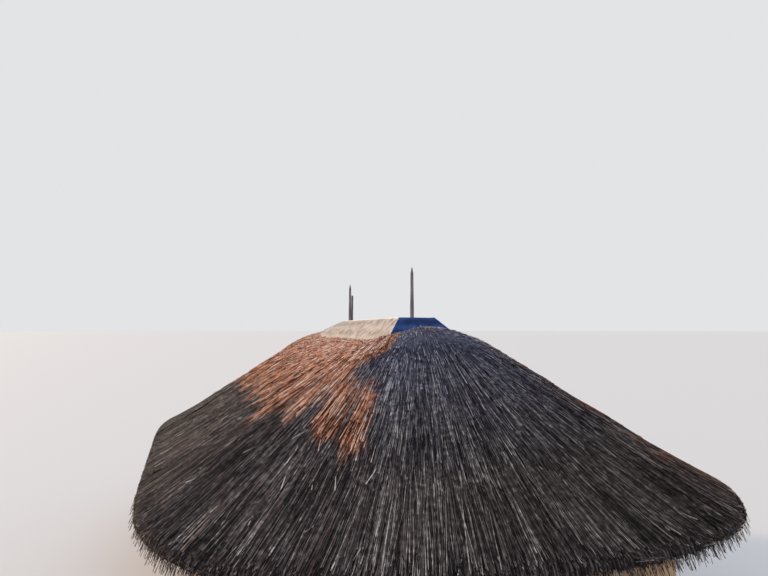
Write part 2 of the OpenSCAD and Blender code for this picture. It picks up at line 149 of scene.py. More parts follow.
@dataclass(frozen=True)
class Finish:
    """A finish that is made into a material once and shared by the pieces that have it."""

    name: str

    def material(self) -> bpy.types.Material:
        """Gives the finish's material and makes it at the first call.

        Returns:
            The shared material.
        """
        found = bpy.data.materials.get(self.name)
        if found:
            return found
        made = bpy.data.materials.new(self.name)
        made.use_nodes = True
        made.node_tree.nodes.clear()
        add = partial(add_node, made.node_tree)
        add("ShaderNodeOutputMaterial", {"Surface": add("ShaderNodeBsdfPrincipled", self.paint(add))})
        return made

    def paint(self, add: Adder) -> dict[str, Any]:
        """Adds the finish's patterns to its tree.

        Args:
            add: Adds a node to the tree.

        Returns:
            What each input of the surface shader gets.
        """
        raise NotImplementedError


@dataclass(frozen=True)
class Grass(Finish):
    """Dry grass, with a scale of colours for each zone of the roof that it can lie in, some of them painted
    light and shade.
    """

    places: tuple[float, ...]
    aged: tuple[str, ...]
    painted_sky_shade: tuple[str, ...]
    painted_sunlit: tuple[str, ...]

    def zoned(self, add: Adder, value: Socket) -> Socket:
        """Colours the grass by its zone: aged, painted sky-lit shade in slate grey near the crest, or
        painted sunlight.

        Args:
            add: Adds a node to the tree.
            value: Place on the scales of colours.

        Returns:
            The colour.
        """
        sun, cool = (add(Kind.ATTRIBUTE, attribute_name=name) for name in ("sun", "cool"))
        aged, painted_sky_shade, painted_sunlit = (add(Kind.RAMP, value, stops=list(zip(self.places, codes)))
                                 for codes in (self.aged, self.painted_sky_shade, self.painted_sunlit))
        return add(Kind.BLEND, sun, add(Kind.BLEND, cool, aged, painted_sky_shade), painted_sunlit)


@dataclass(frozen=True)
class GrassStems(Grass):
    """Dry grass stems, cut and aged on the roof.

    The eye gets thousands of separate stems from nearly black to straw pale: rust and orange where sunlight
    is painted on, grey-brown elsewhere and slate grey as painted sky-lit shade near the crest, with a dull
    shine along them.
    """

    mottle_mm: float = 60.0
    mottle: float = 0.8

    def paint(self, add: Adder) -> dict[str, Any]:
        """Colours each stem by its own tone and by the zone of painted light and shade of the roof that it
        lies in.

        Args:
            add: Adds a node to the tree.

        Returns:
            What each input of the surface shader gets.
        """
        tone = add(Kind.ATTRIBUTE, attribute_name="tone")
        # Mottle along the stems: partly random tone, partly painted shadow that neighbouring stems cast
        mottle = add(Kind.NOISE, add(Kind.PLACE), 1000 / self.mottle_mm)
        shift = add(Kind.TIMES_ADD, mottle, self.mottle, -0.5 * self.mottle)
        colour = self.zoned(add, add(Kind.ADD, tone, shift, use_clamp=True))
        return {"Base Color": colour, "Roughness": 0.7, "Specular IOR Level": 0.12}


@dataclass(frozen=True)
class PackedGrass(Grass):
    """Packed grass under the loose stems, and its lower side over the laths.

    The eye gets a dark, finely streaked mass in the gaps between the stems, warmer where sunlight is
    painted on and paler at the crest, where light is painted on. A real stem is 4 to 6 mm thick, too fine
    to show, so it is drawn coarser.
    """

    stem_mm: float = 16.0
    stem_l_mm: float = 300.0

    def paint(self, add: Adder) -> dict[str, Any]:
        """Draws streaks along the slope, as wide as a stem.

        Args:
            add: Adds a node to the tree.

        Returns:
            What each input of the surface shader gets.
        """
        lay = add(Kind.ATTRIBUTE, attribute_name="lay", out="Vector")
        along = add(Kind.STRETCH, lay, (1000 / self.stem_mm, 1000 / self.stem_l_mm, 0.0))
        streak = add(Kind.NOISE, along, 1.0, 3.0)
        # Painted light: paler where the stored shading is below zero, at the crest
        dry = add(Kind.RANGE, add(Kind.PART, lay), 0.0, -0.2, 0.0, 0.12)
        return {"Base Color": self.zoned(add, add(Kind.ADD, streak, dry)), "Roughness": 0.9,
                "Specular IOR Level": 0.08, "Normal": add(Kind.BUMP, streak, 0.8, 0.012)}


@dataclass(frozen=True)
class CoatedSheet(Finish):
    """Thin metal sheet with an old, dull coat of paint and dust.

    The eye gets a finely mottled matt colour with faint runs down the slope and level marks across it.
    """

    colour: str = "#ada195"
    stain: str = "#8a7a6c"
    worn: str = "#c6bbae"
    marks: float = 0.1
    mark_mm: float = 55.0
    cloud_mm: float = 125.0
    runs: float = 0.15

    def paint(self, add: Adder) -> dict[str, Any]:
        """Mottles the coat, adds runs and level marks, and roughens it unevenly.

        Args:
            add: Adds a node to the tree.

        Returns:
            What each input of the surface shader gets.
        """
        place = add(Kind.PLACE)
        cloud = add(Kind.NOISE, place, 1000 / self.cloud_mm, 6.0, 0.62)
        # Runs are about 40 mm wide and ten times as long
        runs = add(Kind.NOISE, add(Kind.STRETCH, place, (26.0, 2.6, 2.6)), 1.0, 3.0)
        levels = add("ShaderNodeTexWave", {"Vector": place, "Scale": 100 / self.mark_mm, "Distortion": 1.5,
                                           "Detail": 2.0}, out="Fac", bands_direction="Z")
        mottled = add(Kind.TIMES_ADD, runs, self.runs, cloud)
        marked = add(Kind.TIMES_ADD, add(Kind.ADD, levels, -0.5), self.marks, mottled)
        tone = add(Kind.TIMES, marked, 1 / (1 + self.runs))
        colour = add(Kind.RAMP, tone, stops=((0.36, self.stain), (0.49, self.colour), (0.64, self.worn)))
        return {"Base Color": colour, "Roughness": add(Kind.RANGE, cloud, 0.0, 1.0, 0.55, 0.8),
                "Specular IOR Level": 0.15, "Normal": add(Kind.BUMP, tone, 0.35, 0.004)}


@dataclass(frozen=True)
class Wood(Finish):
    """Air-dried native hardwood, split or peeled and never painted.

    The eye gets grain and fine cracks along each piece, and tones that change from piece to piece.
    """

    dark: str
    middle: str
    pale: str
    grain_mm: float
    crack: float

    def paint(self, add: Adder) -> dict[str, Any]:
        """Draws grain, cracks and blotches on the piece's own grain coordinates.

        Args:
            add: Adds a node to the tree.

        Returns:
            What each input of the surface shader gets.
        """
        grain = add(Kind.ATTRIBUTE, attribute_name="grain", out="Vector")
        # Waves to a metre along the grain and across it: lines, cracks and blotches
        fine = 1000 / self.grain_mm
        lines, cracks, blotch = (
            add(Kind.NOISE, add(Kind.STRETCH, grain, size), 1.0, 4.0, 0.6, bend)
            for size, bend in (((2.5, fine, fine), 0.4), ((1.3, fine * 0.45, fine * 0.45), 0.2),
                               ((2.0, 5.0, 5.0), 0.0)))
        tone = add(Kind.TIMES_ADD, blotch, 0.35, add(Kind.TIMES, lines, 0.65))
        colour = add(Kind.RAMP, tone, stops=((0.34, self.dark), (0.5, self.middle), (0.66, self.pale)))
        sound = add(Kind.RANGE, cracks, 0.34, 0.42)
        shade = add(Kind.RANGE, sound, 0.0, 1.0, 1 - self.crack, 1.0)
        height = add(Kind.TIMES_ADD, lines, 0.4, sound)
        return {"Base Color": add(Kind.SCALE, colour, shade), "Roughness": 0.78,
                "Specular IOR Level": 0.3, "Normal": add(Kind.BUMP, height, 0.6, 0.003)}


@dataclass(frozen=True)
class EarthPlaster(Finish):
    """Earth and sand plaster, laid on and smoothed by hand.

    The eye gets a warm, uneven ochre skin with trowel waves, hairline cracks and a splashed foot.
    """

    colour: str = "#b28c68"
    pale: str = "#c9a986"
    damp: str = "#6f4d39"
    crack: str = "#6b4f3a"
    crack_m: float = 0.75
    trowel_bend: float = 0.35
    splash_top: float = 0.62
    splash_fade: float = 0.25

    def paint(self, add: Adder) -> dict[str, Any]:
        """Lays clouds, grit, cracks and the splash band over each other.

        Args:
            add: Adds a node to the tree.

        Returns:
            What each input of the surface shader gets.
        """
        place = add(Kind.PLACE)
        # Clouds of 770 mm, trowel waves of 200 mm and grit of 14 mm
        cloud, wave, grit = (add(Kind.NOISE, place, scale, detail, 0.6)
                             for scale, detail in ((1.3, 4.0), (5.0, 3.0), (70.0, 3.0)))
        base = add(Kind.RAMP, cloud, stops=((0.35, self.colour), (0.68, self.pale)))
        ragged = add(Kind.TIMES_ADD, wave, -0.5, add(Kind.PART, place))
        splash = add(Kind.RANGE, ragged, self.splash_top - self.splash_fade, -0.1, 0.0, 0.85)
        wet = add(Kind.BLEND, splash, base, self.damp)
        bent = add("ShaderNodeVectorMath", wave, (self.trowel_bend,) * 3, place,
                   operation="MULTIPLY_ADD")
        # Cracks are drawn 6 mm wide, coarser than real ones, so that they show
        cells = add("ShaderNodeTexVoronoi", {"Vector": bent, "Scale": 1 / self.crack_m},
                    feature="DISTANCE_TO_EDGE")
        hair = add(Kind.RANGE, cells, 0.012, 0.004, 0.0, 1.0)
        crack = add(Kind.TIMES, hair, add(Kind.RANGE, cloud, 0.48, 0.62))
        rise = add(Kind.TIMES_ADD, grit, 0.12, wave)
        relief = add(Kind.TIMES_ADD, crack, -0.35, rise)
        return {"Base Color": add(Kind.BLEND, crack, wet, self.crack), "Roughness": 0.93,
                "Specular IOR Level": 0.2, "Normal": add(Kind.BUMP, relief, 0.7, 0.012)}


@dataclass(frozen=True)
class Stone(Finish):
    """Rough field stone, or the earth mortar and screed made with its sand.

    The eye gets a gritty, speckled surface whose tone changes from stone to stone.
    """

    dark: str
    middle: str
    pale: str
    own_tone: float
    grit_mm: float
    cloud_mm: float = 250.0

    def paint(self, add: Adder) -> dict[str, Any]:
        """Speckles the stone and shifts it by its own tone.

        Args:
            add: Adds a node to the tree.

        Returns:
            What each input of the surface shader gets.
        """
        place = add(Kind.PLACE)
        grit, cloud = (add(Kind.NOISE, place, 1000 / size, 5.0, 0.65)
                       for size in (self.grit_mm, self.cloud_mm))
        half = add(Kind.TIMES, add(Kind.ADD, grit, cloud), 0.5)
        tone = add(Kind.ATTRIBUTE, attribute_name="tone")
        value = add(Kind.TIMES_ADD, tone, self.own_tone, half)
        colour = add(Kind.RAMP, value, stops=((0.36, self.dark), (0.52, self.middle), (0.75, self.pale)))
        return {"Base Color": colour, "Roughness": 0.88, "Specular IOR Level": 0.3,
                "Normal": add(Kind.BUMP, half, 0.7, 0.006)}


class Finishes(Enum):
    """Finishes of the hut, each named for what it is, or for the light or shade painted into it."""

    # Grass scales: aged, then painted sky-lit shade, then painted sunlight
    STEMS = GrassStems("aged_grass_stems", (0.0, 0.25, 0.5, 0.78, 1.0),
                       ("#151110", "#352d2c", "#544a48", "#80766f", "#d6cabd"),
                       ("#1c1b24", "#373643", "#575666", "#7e7d8b", "#c0bdc5"),
                       ("#1e100b", "#6a3b2b", "#ce845e", "#f2bd98", "#fde8d6"))
    PACKED = PackedGrass("packed_grass", (0.36, 0.5, 0.66), ("#0e0b0c", "#292425", "#5d5451"),
                         ("#17171f", "#353543", "#6a6979"), ("#2a150d", "#6b3d29", "#b47a59"))
    # One sheet in two copies: its colour on the sunlit sides, and navy blue as painted shade and painted
    # sky reflection
    BLEACHED_SHEET = CoatedSheet("sunlit_side_coated_sheet")
    BLUE_SHEET = CoatedSheet("painted_shade_blue_sheet", "#203a6b", "#172a54", "#2f4a80", 0.35)
    # Pale folded edges of the sunlit side: a painted highlight along the arris
    WORN_EDGE = CoatedSheet("painted_highlight_folded_edge", "#ddd1c4", "#b09e8d", "#f6efe6")
    ZINC_STRIP = CoatedSheet("dull_zinc_strip", "#a5a5ab", "#85868e", "#bdbdc2", 0.15)
    RUSTY_NAIL = CoatedSheet("rusty_nail_heads", "#6d4a36", "#43291d", "#8f7460")
    WEATHERED = Wood("weathered_grey_pole", "#4a4449", "#766c71", "#a89c97", 11.0, 0.5)
    PEELED = Wood("peeled_roof_pole", "#3d2c20", "#6e543d", "#967a5c", 12.0, 0.5)
    HEWN = Wood("hewn_frame_timber", "#2f2219", "#5a4332", "#80644b", 8.0, 0.6)
    LATHS = Wood("split_laths", "#43311f", "#7a6043", "#a4875f", 7.0, 0.4)
    PLASTER = EarthPlaster("hand_smoothed_earth_plaster")
    FIELD_STONE = Stone("rough_field_stone", "#4a423a", "#7d7267", "#aca093", 0.28, 16.0)
    BEDDING = Stone("earth_mortar_bedding", "#4f3f33", "#776352", "#94806b", 0.0, 9.0)
    SCREED = Stone("smoothed_floor_screed", "#5d544a", "#82776a", "#9a9082", 0.0, 30.0)


# Meshes

def copy_solid(node: str, dissolve: bool = True) -> EditMesh:
    """Copies a solid's mesh with its triangles joined, to be reshaped.

    Args:
        node: Name of the solid.
        dissolve: Whether flat neighbours become one face.

    Returns:
        The copy, as an open edit mesh.
    """
    bm = bmesh.new()
    bm.from_mesh(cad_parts[node].data)
    bmesh.ops.remove_doubles(bm, verts=bm.verts, dist=SAME_PLACE)
    if dissolve:
        bmesh.ops.dissolve_limit(bm, angle_limit=SAME_PLANE, verts=bm.verts, edges=bm.edges)
    return bm


def slice_mesh(bm: EditMesh, axis: Vector, spacing: float) -> None:
    """Cuts a mesh by even planes square to an axis, so that it can ripple.

    Args:
        bm: Mesh to cut.
        axis: Unit direction across the cuts.
        spacing: Greatest distance between two cuts.
    """
    depths = [v.co.dot(axis) for v in bm.verts]
    low, high = min(depths), max(depths)
    count = math.ceil((high - low) / spacing)
    for i in range(1, count):
        bmesh.ops.bisect_plane(bm, geom=bm.verts[:] + bm.edges[:] + bm.faces[:], plane_no=axis, dist=1e-5,
                               plane_co=axis * (low + (high - low) * i / count))


def round_edges(bm: EditMesh, edges: Sequence[Any], width: float, segments: int = 2) -> None:
    """Rounds edges of a mesh off by a width."""
    bmesh.ops.bevel(bm, geom=edges, offset=width, segments=segments, affect="EDGES", profile=0.5)


def islands(bm: EditMesh) -> list[EditMesh]:
    """Splits a mesh into its separate solids.

    Args:
        bm: Mesh to split, which is freed.

    Returns:
        One mesh for each solid, in the order of their first vertices.
    """
    bm.verts.index_update()
    seen: set[int] = set()
    parts = []
    for start in bm.verts:
        if start.index in seen:
            continue
        group, stack = [], [start]
        seen.add(start.index)
        while stack:
            vert = stack.pop()
            group.append(vert)
            for edge in vert.link_edges:
                other = edge.other_vert(vert)
                if other.index not in seen:
                    seen.add(other.index)
                    stack.append(other)
        part = bmesh.new()
        group.sort(key=lambda v: v.index)
        made = {vert.index: part.verts.new(vert.co) for vert in group}
        for face in dict.fromkeys(face for vert in group for face in vert.link_faces):
            part.faces.new([made[v.index] for v in face.verts])
        part.normal_update()
        parts.append(part)
    bm.free()
    return parts


def own_frame(points: Array) -> tuple[Array, Array]:
    """Finds the middle of a long solid and its own axes.

    Args:
        points: Corners of the solid, one in each row.

    Returns:
        The middle, and three unit axes in rows with the longest first.
    """
    middle = points.mean(0)
    axes = np.linalg.svd(points - middle, full_matrices=False)[2]
    for axis in axes:
        if axis[np.argmax(np.abs(axis))] < 0:
            axis *= -1
    return middle, axes


def to_mesh(name: str, parts: Sequence[EditMesh]) -> Mesh:
    """Joins edit meshes, in order, into one named mesh and frees them.

    Args:
        name: Name of the mesh.
        parts: What is joined.

    Returns:
        The mesh.
    """
    mesh = bpy.data.meshes.new(name)
    joined = bmesh.new()
    for part in parts:
        part.to_mesh(mesh)
        part.free()
        joined.from_mesh(mesh)
    joined.to_mesh(mesh)
    joined.free()
    return mesh


def corners(mesh: Mesh) -> Array:
    """Gives a mesh's vertices, one in each row.

    Args:
        mesh: The mesh.

    Returns:
        Their places.
    """
    co = np.zeros(len(mesh.vertices) * 3, np.float32)
    mesh.vertices.foreach_get("co", co)
    return co.reshape(-1, 3).astype(float)


def store(mesh: Mesh, name: str, values: Array, domain: str = "POINT") -> None:
    """Stores numbers or vectors on a mesh.

    Args:
        mesh: The mesh.
        name: Name of the attribute.
        values: One number or one vector for each element.
        domain: Kind of element.
    """
    old = mesh.attributes.get(name)
    if old:
        mesh.attributes.remove(old)
    is_vector = values.ndim == 2
    made = mesh.attributes.new(name, "FLOAT_VECTOR" if is_vector else "FLOAT", domain)
    made.data.foreach_set("vector" if is_vector else "value", values.astype(np.float32).ravel())


def dress(mesh: Mesh, finish: Finishes) -> None:
    """Gives a whole mesh one finish."""
    mesh.materials.clear()
    mesh.materials.append(finish.value.material())


def new_object(name: str, data: Any) -> bpy.types.Object:
    """Makes an object and links it into the scene.

    Args:
        name: Name of the object.
        data: Its mesh, camera or lamp.

    Returns:
        The object.
    """
    obj = bpy.data.objects.new(name, data)
    bpy.context.scene.collection.objects.link(obj)
    return obj


def place_piece(mesh: Mesh, finish: Finishes, slot: str, *replaced: str, crease_deg: float | None = 38.0
                ) -> None:
    """Puts a finished mesh into the scene as a piece that rides on the hut, and reports it.

    Args:
        mesh: The piece's mesh, in place and with the piece's name.
        finish: Its finish.
        slot: Name of a material slot; not used.
        replaced: Names of the solids that it stands for.
        crease_deg: Angle above which an edge stays sharp, or None for flat faces.
    """
    mesh.polygons.foreach_set("use_smooth", [crease_deg is not None] * len(mesh.polygons))
    if crease_deg is not None:
        mesh.set_sharp_from_angle(angle=math.radians(crease_deg))
    dress(mesh, finish)
    obj = new_object(mesh.name, mesh)
    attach(obj, "root")
    if replaced:
        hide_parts(*replaced)
    mesh.calc_loop_triangles()
    log.info("%s: %d triangles", obj.name, len(mesh.loop_triangles))


def smooth_step(low: float, high: float, values: Array) -> Array:
    """Eases from 0 at low to 1 at high."""
    t = np.clip((values - low) / (high - low), 0.0, 1.0)
    return t * t * (3 - 2 * t)


def ripple(co: Array, size: float, seed: float = 0.0) -> Array:
    """Gives smooth noise from about -1 to 1 at each point, with waves of a size in metres."""
    return np.array([noise.noise(Vector(p) / size + Vector((seed, 0.7 * seed, 1.3 * seed))) for p in co])


# Geometry node trees

def open_tree(name: str, plan: type) -> tuple[Adder, Any]:
    """Starts a geometry node tree whose named inputs are the fields of a dataclass.

    Args:
        name: Name of the tree.
        plan: Dataclass whose number fields are the inputs.

    Returns:
        What adds a node to the tree, and the sockets of its inputs.
    """
    tree = bpy.data.node_groups.new(name, "GeometryNodeTree")
    tree.interface.new_socket("Geometry", in_out="INPUT", socket_type="NodeSocketGeometry")
    for item in fields(plan):
        kind = "NodeSocketInt" if item.type is int else "NodeSocketFloat"
        tree.interface.new_socket(item.name, in_out="INPUT", socket_type=kind)
    tree.interface.new_socket("Geometry", in_out="OUTPUT", socket_type="NodeSocketGeometry")
    return partial(add_node, tree), tree.nodes.new("NodeGroupInput").outputs


def throw_dice(add: Adder, seed: Socket, count: int) -> list[Socket]:
    """Gives even random numbers from 0 to 1 for each element.

    Args:
        add: Adds a node to the tree.
        seed: The tree's own seed.
        count: Number of throws.

    Returns:
        Three outputs for each throw.
    """
    dice: list[Socket] = []
    for throw in range(count):
        triple = add("FunctionNodeRandomValue", {"Seed": add(Kind.ADD, seed, 11.0 + throw)},
                     data_type="FLOAT_VECTOR")
        dice += add(Kind.PART, triple).node.outputs[:]
    return dice


def close_tree(add: Adder, points: Socket, shapes: Sequence[Socket], seed: Any, turn: Socket,
               size: Socket, finish: Finishes) -> Tree:
    """Lays shapes on points, picked by chance, makes them real, gives them a finish and ends a tree.

    Args:
        add: Adds a node to the tree.
        points: Where the shapes go.
        shapes: The shapes to pick from.
        seed: Seed of the pick.
        turn: Rotation of each shape.
        size: Size of each shape.
        finish: Finish of them all.

    Returns:
        The finished tree.
    """
    shapes = [add("GeometryNodeGeometryToInstance", shape) for shape in shapes]
    choice = add("FunctionNodeRandomValue", {4: 0, 5: len(shapes) - 1, "Seed": seed}, out=2,
                 data_type="INT")
    laid = add("GeometryNodeInstanceOnPoints", {
        "Points": points, "Instance": add("GeometryNodeJoinGeometry", shapes[::-1]),
        "Pick Instance": True, "Instance Index": choice, "Rotation": turn, "Scale": size})
    real = add("GeometryNodeRealizeInstances", laid)
    dressed = add("GeometryNodeSetMaterial", {"Geometry": real, "Material": finish.value.material()})
    add("NodeGroupOutput", dressed)
    return dressed.id_data


def scatter(base: Mesh, tree: Tree, plan: Any, name: str, keep: Sequence[str] = ("tone",)) -> Mesh:
    """Runs a tree on a mesh and gives its result as a plain mesh.

    Args:
        base: Mesh with the attributes that the tree reads.
        tree: Tree whose inputs are the plan's fields.
        plan: Dataclass with the inputs' values.
        name: Name of the new mesh.
        keep: Attributes that stay on it.

    Returns:
        The plain mesh.
    """
    holder = new_object(name + "_holder", base)
    modifier = holder.modifiers.new("scatter", "NODES")
    modifier.node_group = tree
    sockets = {item.name: item.identifier for item in tree.interface.items_tree
               if item.in_out == "INPUT"}
    for item in fields(plan):
        modifier[sockets[item.name]] = getattr(plan, item.name)
    graph = bpy.context.evaluated_depsgraph_get()
    made = bpy.data.meshes.new_from_object(holder.evaluated_get(graph))
    made.name = name
    holder.modifiers.remove(modifier)
    bpy.data.objects.remove(holder)
    for extra in [a.name for a in made.attributes
                  if not a.is_required and not a.is_internal and a.name not in (*keep, "sharp_face")]:
        made.attributes.remove(made.attributes[extra])
    return made


# Thatch

@dataclass(frozen=True)
class RoofForm:
    """Plan of the roof, read from the solids.

    A place on the roof is given by how far out it is from the ridge line between the posts, and by the
    angle of that direction from the ridge, from 0 at an end to 90 degrees at a side.
    """

    post_x: float
    angles: Array
    rims: Array
    wells: Array

    @classmethod
    def from_solids(cls) -> "RoofForm":
        """Reads the posts' place and the outline of the coat and of its well.

        Returns:
            The roof's plan.
        """
        low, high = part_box("near_centre_post")
        post_x = (low.x + high.x) / 2
        co = corners(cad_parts["near_right_thatch"].data)
        out = np.hypot(co[:, 0] - post_x, co[:, 1])
        angle = np.degrees(np.arctan2(co[:, 1], co[:, 0] - post_x))
        # Every 6 degrees, from the corners within 1.6 degrees
        angles = np.arange(0.0, 91.0, 6.0)
        near = [out[np.abs(angle - a) < 1.6] for a in angles]
        return cls(post_x, np.radians(angles), np.array([n.max() for n in near]),
                   np.array([n.min() for n in near]))

    def outward(self, co: Array) -> tuple[Array, Array, Array]:
        """Finds how far out points are and in which direction.

        Args:
            co: Points, one in each row.

        Returns:
            The distance out, the unit direction in plan, and the angle from 0 to 90 degrees, in radians.
        """
        plan = co[:, :2].copy()
        plan[:, 0] -= np.clip(plan[:, 0], -self.post_x, self.post_x)
        out = np.hypot(plan[:, 0], plan[:, 1])
        direction = plan / np.maximum(out, 1e-6)[:, None]
        return out, direction, np.arctan2(np.abs(plan[:, 1]), np.abs(plan[:, 0]))

    def along(self, co: Array, radius: float | Array) -> Array:
        """Gives how far points are round the plan, from the middle of a long side.

        Args:
            co: Points, one in each row.
            radius: Radius that turns are measured on.

        Returns:
            The distance round for each point.
        """
        direction = self.outward(co)[1]
        turn = np.arctan2(direction[:, 0], np.abs(direction[:, 1]))
        return np.clip(co[:, 0], -self.post_x, self.post_x) + turn * radius

    def edges(self, angle: Array) -> tuple[Array, Array]:
        """Gives how far out the coat's edge and the well under the cap are at an angle."""
        return np.interp(angle, self.angles, self.rims), np.interp(angle, self.angles, self.wells)


@dataclass(frozen=True)
class StemLay:
    """How one layer of stems lies on a coat; each field is an input of the stem tree.

    A stem is 4 to 6 mm thick. Each one here stands for two that lie together, so that they still show
    from where the photograph was taken.
    """

    density: float = 900.0
    seed: int = 1
    shortest: float = 0.6
    longest: float = 1.5
    width: float = 0.0095
    spread: float = 0.09
    sink: float = 0.004
    lift: float = 0.024
    reach: float = 0.02
    pitch: float = 0.5
    droop: float = 0.0
    follow: float = 1.0
    paler: float = 0.0
    patch: float = 0.5
    over: float = 0.02
    post_x: float = 1.975


def stem_tree() -> Tree:
    """Makes the tree that lays grass stems down the slope of a coat.

    Each stem's tip lies at a random place of the faces whose share is above 0. Its root goes up the
    slope, fanned round the posts, and stops short of the crest.

    Returns:
        The tree, with the fields of StemLay as inputs.
    """
    add, ins = open_tree("grass_stems", StemLay)
    dice = throw_dice(add, ins["seed"], 3)
    share, dip, up_room, sun = (add(Kind.NUMBER, name) for name in ("share", "dip", "up_room", "sun"))
    points = add("GeometryNodeDistributePointsOnFaces",
                 {"Mesh": ins["Geometry"], "Density": add(Kind.TIMES, ins["density"], share),
                  "Seed": ins["seed"]})
    normal = points.node.outputs["Normal"]
    # Down the slope, away from the nearest place of the ridge line
    place = add(Kind.HERE)
    on_ridge = add("ShaderNodeClamp", add(Kind.PART, place, out="X"),
                   add(Kind.TIMES, ins["post_x"], -1.0), ins["post_x"])
    away = add(Kind.FROM, place, add(Kind.JOIN, on_ridge))
    out = add(Kind.UNIT, add(Kind.STRETCH, away, (1.0, 1.0, 0.0)))
    along_face = add(Kind.FROM, out, add(Kind.SCALE, normal, add(Kind.DOT, normal, out)))
    pitch = add(Kind.TIMES_ADD, dip, ins["droop"], ins["pitch"])
    fall = add(Kind.TIMES, add(Kind.SINE, pitch), -1.0)
    level = add(Kind.SCALE, out, add(Kind.COSINE, pitch))
    pitched = add(Kind.SHIFT, level, add(Kind.JOIN, 0.0, 0.0, fall))
    down = add(Kind.BETWEEN, ins["follow"], pitched, along_face)
    side = add(Kind.UNIT, add(Kind.SQUARE_TO, normal, down))
    turn = add(Kind.ADD, add(Kind.ADD, dice[0], dice[1]), -1.0)
    swing = add(Kind.SCALE, side, add(Kind.TIMES, turn, ins["spread"]))
    stem = add(Kind.UNIT, add(Kind.SHIFT, swing, add(Kind.UNIT, down)))
    # Tip and root; a stem is never shorter than 40 mm
    room = add(Kind.MOST, add(Kind.ADD, up_room, ins["over"]), 0.04)
    wanted = add(Kind.RANGE, dice[2], 0.0, 1.0, ins["shortest"], ins["longest"])
    length = add(Kind.LEAST, wanted, room)
    rise = add(Kind.TIMES, add(Kind.RANGE, dice[3], 0.0, 1.0, 0.15, 1.0), ins["lift"])
    reach = add(Kind.SCALE, stem, add(Kind.TIMES, dice[4], ins["reach"]))
    nudge = add(Kind.SHIFT, reach, add(Kind.SCALE, normal, rise))
    guess = add(Kind.FROM, place, add(Kind.SCALE, stem, length))
    growing = add("GeometryNodeSeparateGeometry", ins["Geometry"], share, domain="FACE")
    on_coat = add("GeometryNodeProximity", {"Geometry": growing, "Sample Position": guess},
                  target_element="FACES")
    sunk = add(Kind.FROM, on_coat, add(Kind.SCALE, normal, ins["sink"]))
    root = add(Kind.BETWEEN, ins["follow"], guess, sunk)
    whole = add(Kind.FROM, add(Kind.SHIFT, place, nudge), root)
    # Tone, shifted by painted shade and light, in patches 280 mm wide and locks 40 mm wide that run down
    # the slope
    lay = add(Kind.VECTOR, "lay")
    streak, lock, strip = (add(Kind.NOISE, add(Kind.STRETCH, lay, size), 1.0, detail)
                           for size, detail in (((3.6, 0.7, 0.0), 3.0), ((26.0, 0.8, 0.0), 1.0),
                                                ((5.0, 0.6, 0.0), 2.0)))
    both = add(Kind.ADD, add(Kind.ADD, streak, lock), -1.0)
    patch = add(Kind.TIMES_ADD, both, ins["patch"], ins["paler"])
    unshaded_tone = add(Kind.ADD, add(Kind.RANGE, dice[5], 0.0, 1.0, 0.0, 0.95), patch)
    tone = add(Kind.TAKE, unshaded_tone, add(Kind.PART, lay))
    # Painted sunlight, with a ragged edge where 200 mm strips of sunlit stems end in painted shadow
    broken = add(Kind.TIMES, sun, add(Kind.TIMES_ADD, strip, 3.2, -0.6))
    mixed = add(Kind.TIMES_ADD, add(Kind.ADD, dice[6], -0.5), 0.7, broken)
    for name, value in (("tone", tone), ("sun", add(Kind.RANGE, mixed, 0.32, 0.68))):
        points = add(Kind.STORE, points, name, value)
    # Shapes of a stem, a unit long and wide, with the tip at the point: bow, sections, root and tip.
    # Most stems lie with the cut end down the slope, as a thatcher lays them.
    shapes = []
    for bow, sections, root_r, tip_r in ((0.0, 1, 0.0, 0.5), (0.0, 1, 0.5, 0.0), (0.0, 1, 0.0, 0.5),
                                         (3.2, 2, 0.5, 0.0), (0.0, 1, 0.0, 0.45), (0.0, 1, 0.0, 0.5)):
        cone = add("GeometryNodeMeshCone", {"Vertices": 3, "Side Segments": sections, "Radius Top": tip_r,
                                            "Radius Bottom": root_r, "Depth": 1.0})
        z = add(Kind.PART, add(Kind.HERE))
        bulge = add(Kind.TIMES, add(Kind.TIMES, z, add(Kind.TAKE, 1.0, z)), 4.0 * bow)
        shapes.append(add(Kind.MOVE, cone, add(Kind.JOIN, bulge, 0.0, -1.0)))
    wide = add(Kind.TIMES, add(Kind.RANGE, dice[7], 0.0, 1.0, 0.6, 1.4), ins["width"])
    size = add(Kind.JOIN, wide, add(Kind.TIMES, wide, 0.7), add(Kind.LENGTH, whole))
    turned = add(Kind.TURN, whole, normal, primary_axis="Z", secondary_axis="Y")
    return close_tree(add, add(Kind.MOVE, points, nudge), shapes, 17, turned, size, Finishes.STEMS)


